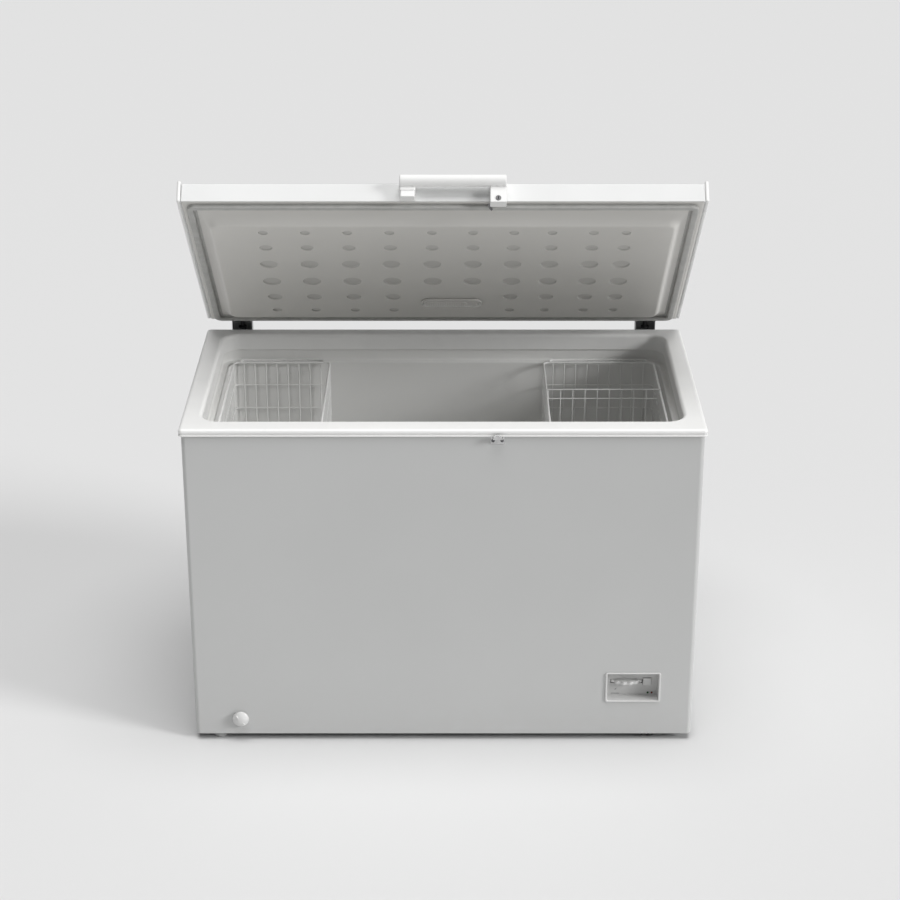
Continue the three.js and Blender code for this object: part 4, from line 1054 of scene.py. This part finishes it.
class FREEZER_OT_lid_shell(FreezerStep):
    """Fold the lid's steel pan and mould its two end caps"""

    bl_idname = "freezer.lid_shell"
    bl_label = "Lid shell"

    def make(self, sizes):
        half, front, rear = LID
        rect = (half - RIM_WIDTH - GAP, front, rear, 3.0)
        bend = 4.5
        profile = [(bend, LID_HIGH - SHEET), (SHEET, LID_HIGH - bend), (SHEET, LID_LOW + 0.2), (0.5, LID_LOW),
                   (0, LID_LOW + 0.5), *arc(bend, LID_HIGH - bend, bend, 180, 90, 6)]
        pan = Solid().capped(rings(rect, profile, 4))
        finish_piece("lid_skin", pan, "lid_enamel", "lid", ["lid_outer"], LID_PLACE,
                     broad=True)
        for side, way in (("left", -1), ("right", 1)):
            cap = Solid().block(half - RIM_WIDTH, half, front, rear, LID_LOW, LID_HIGH + RIM_RISE,
                                3.4, 3.0, 6)
            if way < 0:
                cap.place(moved(RIM_WIDTH - 2 * half, 0, 0))
            finish_piece(f"{side}_lid_cap", cap, "trim", "lid", [f"{side}_lid_rim"],
                         LID_PLACE, broad=True)


def dimples():
    """Centre and radius of each dimple of the lid liner, with the lamp's place left free."""
    rows = [(-208, 10.5), (-133, 14), (-48, 19.5), (43, 20), (129, 16.5), (203, 10.5)]
    columns = (-382, -293, -203, -114, -24, 64, 151, 232, 320, 389)
    for number, (y, radius) in enumerate(rows):
        for column, x in enumerate(columns):
            if number > 3 and column in (4, 5):
                continue
            yield x, y, radius


class FREEZER_OT_lid_liner(FreezerStep):
    """Form the lid's dimpled liner and the bellows seal round it"""

    bl_idname = "freezer.lid_liner"
    bl_label = "Lid liner and seal"

    def make(self, sizes):
        half, front, rear = LID
        edge = RIM_WIDTH + SHEET + 0.6
        flange = rings((half - edge, front + 1.5, rear - 1.5, 2), [(0, LID_LOW), (4, LID_LOW)], 10)
        for rect, drop in [((519.5, front + 26, rear - 23.5, 16), 0), ((518, front + 29, rear - 25, 17), 0.5),
                           ((513, front + 39, rear - 30, 20), 2.2), ((507, front + 51, rear - 38, 24), 5.2),
                           ((502, front + 61, rear - 46, 26), 9.4)]:
            flange += rings(rect, [(0, LID_LOW - drop)], 10)
        wall = arc(14, PLATEAU_LOW + 12, 12, 222, 270, 8) + [(18, PLATEAU_LOW)]
        liner = Solid()
        made = liner.strip(flange + rings(PLATEAU, wall, 10))
        border = [vertex.co.copy() for vertex in made[-1]]
        points, edges, holes = [(co.x, co.y) for co in border], [], []
        edges += [(i, (i + 1) % len(border)) for i in range(len(border))]
        depth = sizes.dimple_depth / MM
        for x, y, radius in dimples():
            steps, first = 28, len(points)
            curve = [(1.8, 0), (0.3, 0.02), (-0.2, 0.2), (-0.9, 0.68), (-1.6, 0.84), (-0.5 * radius, 0.97)]
            loops = []
            for reach, rise in curve:
                turns = [i * 2 * math.pi / steps for i in range(steps)]
                loops.append([(x + (radius + reach) * math.cos(a), y + (radius + reach) * math.sin(a),
                               PLATEAU_LOW + depth * rise) for a in turns])
            bowl = liner.strip(loops)
            liner.mesh.faces.new(bowl[-1])
            points += [(px, py) for px, py, _ in loops[0]]
            edges += [(first + i, first + (i + 1) % steps) for i in range(steps)]
            holes.append((x, y, radius + 1.8))
        flat, _, faces, *_ = delaunay_2d_cdt([Vector(p) for p in points], edges, [], 1, 1e-5)
        corners = [liner.mesh.verts.new((p.x, p.y, PLATEAU_LOW)) for p in flat]
        for face in faces:
            middle = sum((flat[i] for i in face), Vector((0, 0))) / len(face)
            if any(math.hypot(middle.x - x, middle.y - y) < reach * 0.99 for x, y, reach in holes):
                continue
            a, b, c = (flat[i] for i in face)
            order = face if (b - a).cross(c - a) > 0 else face[::-1]
            liner.mesh.faces.new([corners[i] for i in order])
        bmesh.ops.delete(liner.mesh, geom=[v for v in liner.mesh.verts if not v.link_faces], context="VERTS")
        # the hollow attribute marks the dimples' floors, which the liner's material darkens as painted shade
        hollow = liner.mesh.verts.layers.float.new("hollow")
        for vertex in liner.mesh.verts:
            if vertex.co.z < PLATEAU_LOW + depth * 1.05 and any(
                    math.hypot(vertex.co.x - x, vertex.co.y - y) < reach - 1.7 for x, y, reach in holes):
                vertex[hollow] = 1.0
        bmesh.ops.reverse_faces(liner.mesh, faces=liner.mesh.faces)
        finish_piece("lid_inner_liner", liner, "lid_liner", "lid", ["lid_liner"],
                     LID_PLACE, wall=1.2, outward=False)
        core = Solid().capped(rings((half - edge, front + 1.5, rear - 1.5, 2),
                                    [(0, LID_LOW + 2), (0, LID_HIGH - SHEET - GAP)], 10))
        boss = rings(PLATEAU, [(12, PLATEAU_LOW + 5), (4, LID_LOW - 5), (3, LID_LOW + 6)], 10)
        core = core.combined("UNION", Solid().capped(boss))
        finish_piece("lid_foam_core", core, "foam", "lid", ["lid_foam"], LID_PLACE)
        inset = RIM_WIDTH + 11
        seal = Solid()
        flap = [(1.2, 763.7), (19, 763.2), (20, 762.6), (19, 762.1)]
        inside = [(13.9, 762.4), (12.6, 760.9), (13.9, 758.6), (14, 756.2), (12.8, 754.7), (11, 754.35)]
        outside = [(3, 754.35), (1.2, 754.7), (0, 756.2), (0.1, 758.6), (1.4, 760.9), (0.3, 762.6)]
        bellows = flap + inside + outside
        seal.strip(rings((half - inset, front + 11, rear - 9, 18), bellows, 8), closed=True)
        finish_piece("lid_seal", seal, "seal", "lid", ["lid_gasket"], LID_PLACE, sharp=50)


class FREEZER_OT_lamp(FreezerStep):
    """Mould the lamp's cover with its ribbed lens and finger grips"""

    bl_idname = "freezer.lamp"
    bl_label = "Lamp"

    def make(self, sizes):
        x, y, width, depth = LAMP
        top = PLATEAU_LOW - GAP
        cover = Solid().block(x - width / 2, x + width / 2, y - depth / 2, y + depth / 2,
                              top - 5.4, top, 20.5, 2.4, 10)
        lens = Solid().block(x - 62, x + 36, y - 12, y + 12, top - 6.4, top - 3, 11.5, 0.9, 8)
        rib = Solid().block(-0.9, 0.9, -10, 10, 0, 0.8, 0.8, 0.4, 2)
        ribs = scattered([((x - 56 + 4 * i, y, top - 6.2), (0, 0, -1)) for i in range(22)], rib)
        grips = [Solid().block(x + side - 0.8, x + side + 0.8, y - 7, y + 7, top - 6.3, top - 4, 0.7, 0.4, 2)
                 for side in (50, 55)]
        for extra in [lens, ribs, *grips]:
            cover.add(extra)
        finish_piece("lamp_diffuser", cover, "diffuser", "lid", ["lamp_cover"], LID_PLACE)


class FREEZER_OT_handle(FreezerStep):
    """Mould the bar handle on its two feet and set the lock in it"""

    bl_idname = "freezer.handle"
    bl_label = "Handle and lock"

    def make(self, sizes):
        left, right, front, rear, low, high = BAR
        back = LID[1] - GAP
        loops = []
        eased = [(left, 2.6), (left + 0.8, 1), (left + 2.6, 0)]
        eased += [(right - 2.6, 0), (right - 0.8, 1), (right, 2.6)]
        for x, inset in eased:
            near, far, under, over = front + inset, rear - inset, low + inset, high - inset
            bend, tight, small = 13 - inset, 6 - inset, 4 - inset
            edge = arc(near + bend, under + bend, bend, 180, 270, 8)
            edge += arc(far - tight, under + tight, tight, 270, 360, 5)
            edge += arc(far - small, over - small, small, 0, 90, 4)
            edge += arc(near + small, over - small, small, 90, 180, 6)
            loops.append([(x, y, z) for y, z in edge])
        bar = Solid().capped(loops)
        foot = Solid().block(left, left + 33, front + 13, back, 778, high - 3, 3, 1)
        toe = Solid().block(left + 1.2, left + 31.5, front + 14.5, back, LID_LOW, 781, 3, 1)
        lock_foot = Solid().block(LOCK[0] - 17, LOCK[0] + 17, LID[1] - 25, back, 751, high - 3, 2, 0.8)
        grip = bar.combined("UNION", foot, toe, lock_foot)
        bore = rod((LOCK[0], front - 5, LOCK[1]), (LOCK[0], back + 5, LOCK[1]), 5.9, 32)
        grip = grip.combined("DIFFERENCE", bore)
        finish_piece("handle_bar", grip, "handle", "lid", ["lid_handle"], LID_PLACE,
                     ease=0.5, broad=True)
        refined("lock_barrel", "lid_lock", "lock", "lid_lock", 0.25)


class FREEZER_OT_baskets(FreezerStep):
    """Weld the two wire baskets and the divider in the right-hand one"""

    bl_idname = "freezer.baskets"
    bl_label = "Baskets"

    def make(self, sizes):
        thin, thick, pitch = sizes.wire_radius / MM, sizes.rim_radius / MM, sizes.wire_pitch / MM
        for side, (low, high) in (("left", LEFT_BASKET), ("right", RIGHT_BASKET)):
            basket = self.basket(low, high, thin, thick, pitch)
            finish_piece(f"{side}_wire_basket", basket, "wire", f"{side}_basket", [f"{side}_basket"],
                         sharp=60)
        low, high = RIGHT_BASKET[0] + 6.5, RIGHT_BASKET[1] - 6.5
        y, bottom, top = DIVIDER_Y, 491.5, BASKET_RIM + 4.3
        count = round((high - low) / pitch)
        places = [low + (high - low) * i / count for i in range(count + 1)]
        upright = [([(x, y, bottom), (x, y, top)], False) for x in places]
        level = [([(low, y, z), (high, y, z)], False) for z in (bottom, 545, 610, 675)]
        top_wire = ([(low - 5, y, top), (high + 5, y, top)], False)
        divider = wires(upright + level, thin, 8).add(wires([top_wire], 1.5))
        finish_piece("wire_divider", divider, "wire", "basket_divider", ["basket_divider"],
                     sharp=60)

    def basket(self, low, high, thin, thick, pitch):
        front, rear, bottom = BASKET_FRONT + thin, BASKET_REAR - thin, BASKET_LOW + thin
        bend = 12.0

        def cradle(start, end, floor):
            """Down one wall, across the floor and up the other, as (along, height) points."""
            down = [(start, BASKET_RIM), *arc(start + bend, floor + bend, bend, 180, 270, 5)]
            return down + [*arc(end - bend, floor + bend, bend, 270, 360, 5), (end, BASKET_RIM)]

        paths = []
        count = round((high - low - 50) / pitch)
        for i in range(count + 1):
            x = low + 25 + (high - low - 50) * i / count
            paths.append(([(x, y, z) for y, z in cradle(front, rear, bottom)], False))
        count = round((rear - front - 50) / pitch)
        for i in range(count + 1):
            y = front + 25 + (rear - front - 50) * i / count
            cross = cradle(low + thin, high - thin, bottom + 2 * thin)
            paths.append(([(x, y, z) for x, z in cross], False))
        middle = (low + high) / 2
        for z in (520, 578, 636):
            hoop = outline(low + thin, high - thin, front, rear, 14, 5)
            paths.append(([(x, y, z) for x, y in hoop], True))
        made = wires(paths, thin, 6)
        hoop = outline(low + thick, high - thick, BASKET_FRONT + thick, BASKET_REAR - thick, 14, 6)
        rim = [([(x, y, BASKET_RIM) for x, y in hoop], True)]
        reach = (high - low) / 2 - 18
        for wall, way in ((BASKET_FRONT + thick, -1), (BASKET_REAR - thick, 1)):
            out = wall + way * HOOK_REACH
            bow = [(middle - reach, wall), (middle - reach, out - way * 6), (middle - reach + 6, out),
                   (middle + reach - 6, out), (middle + reach, out - way * 6), (middle + reach, wall)]
            rim.append(([(x, y, BASKET_RIM) for x, y in bow], False))
        return made.add(wires(rim, thick, 12))


class FREEZER_OT_screws(FreezerStep):
    """Drive the cross-head screws of the cabinet and the lid"""

    bl_idname = "freezer.screws"
    bl_label = "Screws"

    def make(self, sizes):
        dome = [(0, -0.6), (3.8, -0.6), (3.8, 0.5), (3.5, 1.3), (2.6, 1.9), (1.2, 2.2), (0, 2.3)]
        head = self.head(dome, 20, 2.2, 0.45, 0.9)
        rear, front, down = (0, 1, 0), (0, -1, 0), (0, 0, -1)
        points = [((x, FRONT - 1.8, 728), front) for x in (LOCK[0] - 9.5, LOCK[0] + 9.5)]
        finish_piece("catch_screws", scattered(points, head, sizes.screw_size), "spring", "cabinet")
        points = []
        for x in (-HINGE_X - 29.5, -HINGE_X + 29.5, HINGE_X - 29.5, HINGE_X + 29.5):
            points += [((x, REAR + 1.8, z), rear) for z in (665, 700, 722)]
        points += [((x, REAR + 2.7, z), rear) for x in (302, 538) for z in (62, 283)]
        points += [((x, REAR, 28), rear) for x in range(-530, 560, 132)]
        points += [((x, REAR, 726), rear) for x in range(-396, 400, 132)]
        points += [((x, REAR, z), rear) for x in (-541, 541) for z in (140, 330, 470, 600)]
        points += [((x, way * y, 42), down) for x in (435, 479) for y in (250, 288) for way in (-1, 1)]
        points += [((x, y, 42), down) for x in (-470, -250, 0, 250) for y in (-288, 288)]
        screws = scattered(points, head, sizes.screw_size)
        finish_piece("cabinet_screws", screws, "zinc", "cabinet")
        dome = [(0, -0.6), (3.4, -0.6), (3.4, 0.3), (2.8, 1.0), (1.2, 1.4), (0, 1.5)]
        head = self.head(dome, 16, 2, 0.4, 0.7)
        x, y, *_ = LAMP
        points = [((x + 62, y, PLATEAU_LOW - 5.7), down), ((x - 65.5, y, PLATEAU_LOW - 5.7), down)]
        points += [((x, LID[2] + 1.6, z), rear) for x in (-HINGE_X, HINGE_X) for z in (776, 796)]
        screws = scattered(points, head, sizes.screw_size)
        finish_piece("lid_screws", screws, "zinc", "lid", place=LID_PLACE)

    def head(self, dome, steps, reach, width, floor):
        """A screw's head turned from its outline, with a cross cut down to a floor."""
        cross = (box(-reach, reach, -width, width, floor, 4), box(-width, width, -reach, reach, floor, 4))
        return Solid().lathe(dome, steps).combined("DIFFERENCE", *cross)


class FREEZER_OT_stage(bpy.types.Operator):
    """Lay the pale floor and set the soft lights and the camera"""

    bl_idname = "freezer.stage"
    bl_label = "Stage"

    def execute(self, context):
        studio, scene = context.scene.freezer_studio, context.scene
        floor = bpy.data.materials.new("Studio floor")
        floor.use_nodes = True
        shader = floor.node_tree.nodes["Principled BSDF"]
        shader.inputs["Base Color"].default_value = studio.floor
        shader.inputs["Roughness"].default_value = 0.9
        mesh = bpy.data.meshes.new("studio_floor")
        size = 30.0
        corners = [(-size, -size, 0), (size, -size, 0), (size, size, 0), (-size, size, 0)]
        mesh.from_pydata(corners, [], [(0, 1, 2, 3)])
        mesh.materials.append(floor)
        ground = bpy.data.objects.new("studio_floor", mesh)
        scene.collection.objects.link(ground)

        world = bpy.data.worlds.new("Studio")
        world.use_nodes = True
        world.node_tree.nodes["Background"].inputs["Color"].default_value = (1, 1, 1, 1)
        world.node_tree.nodes["Background"].inputs["Strength"].default_value = studio.fill
        scene.world = world
        overhead = bpy.data.lights.new("overhead", "SUN")
        overhead.energy, overhead.angle = studio.overhead, math.radians(46)
        side = bpy.data.lights.new("side", "SUN")
        side.energy, side.angle = studio.side, math.radians(16)
        for lamp, place in [(overhead, OVERHEAD), (side, SIDE)]:
            light = bpy.data.objects.new(lamp.name, lamp)
            light.location = place
            aim = Vector(LIGHTS_AIM) - Vector(place)
            light.rotation_euler = aim.to_track_quat("-Z", "Y").to_euler()
            scene.collection.objects.link(light)

        lens = bpy.data.cameras.new("camera")
        lens.lens = studio.lens
        camera = bpy.data.objects.new("camera", lens)
        camera.location = CAMERA
        camera.rotation_euler = (math.radians(CAMERA_TILT), 0, 0)
        scene.collection.objects.link(camera)
        scene.camera = camera
        scene.view_settings.view_transform = "Standard"
        return {"FINISHED"}


STEPS = (
    FREEZER_OT_finishes, FREEZER_OT_cabinet, FREEZER_OT_worktop, FREEZER_OT_tub, FREEZER_OT_back,
    FREEZER_OT_machinery, FREEZER_OT_controls, FREEZER_OT_drain, FREEZER_OT_feet, FREEZER_OT_hinges,
    FREEZER_OT_lid_shell, FREEZER_OT_lid_liner, FREEZER_OT_lamp, FREEZER_OT_handle, FREEZER_OT_baskets,
    FREEZER_OT_screws, FREEZER_OT_stage,
)


class FREEZER_PT_panel(bpy.types.Panel):
    """The freezer's pieces and what can be changed about them"""

    bl_label = "Chest Freezer"
    bl_idname = "FREEZER_PT_panel"
    bl_space_type = "VIEW_3D"
    bl_region_type = "UI"
    bl_category = "Freezer"

    def draw(self, context):
        scene = context.scene
        for group in (scene.freezer_colours, scene.freezer_sizes, scene.freezer_studio):
            for name in group.__annotations__:
                self.layout.prop(group, name)
        for step in STEPS:
            self.layout.operator(step.bl_idname)


CLASSES = (FreezerColours, FreezerSizes, FreezerStudio, *STEPS, FREEZER_PT_panel)


def register():
    for kind in CLASSES:
        bpy.utils.register_class(kind)
    bpy.types.Scene.freezer_colours = bpy.props.PointerProperty(type=FreezerColours)
    bpy.types.Scene.freezer_sizes = bpy.props.PointerProperty(type=FreezerSizes)
    bpy.types.Scene.freezer_studio = bpy.props.PointerProperty(type=FreezerStudio)


def unregister():
    del bpy.types.Scene.freezer_studio
    del bpy.types.Scene.freezer_sizes
    del bpy.types.Scene.freezer_colours
    for kind in reversed(CLASSES):
        bpy.utils.unregister_class(kind)


def main():
    register()
    for step in STEPS:
        getattr(bpy.ops.freezer, step.bl_idname.split(".")[1])()


if __name__ == "__main__":
    main()
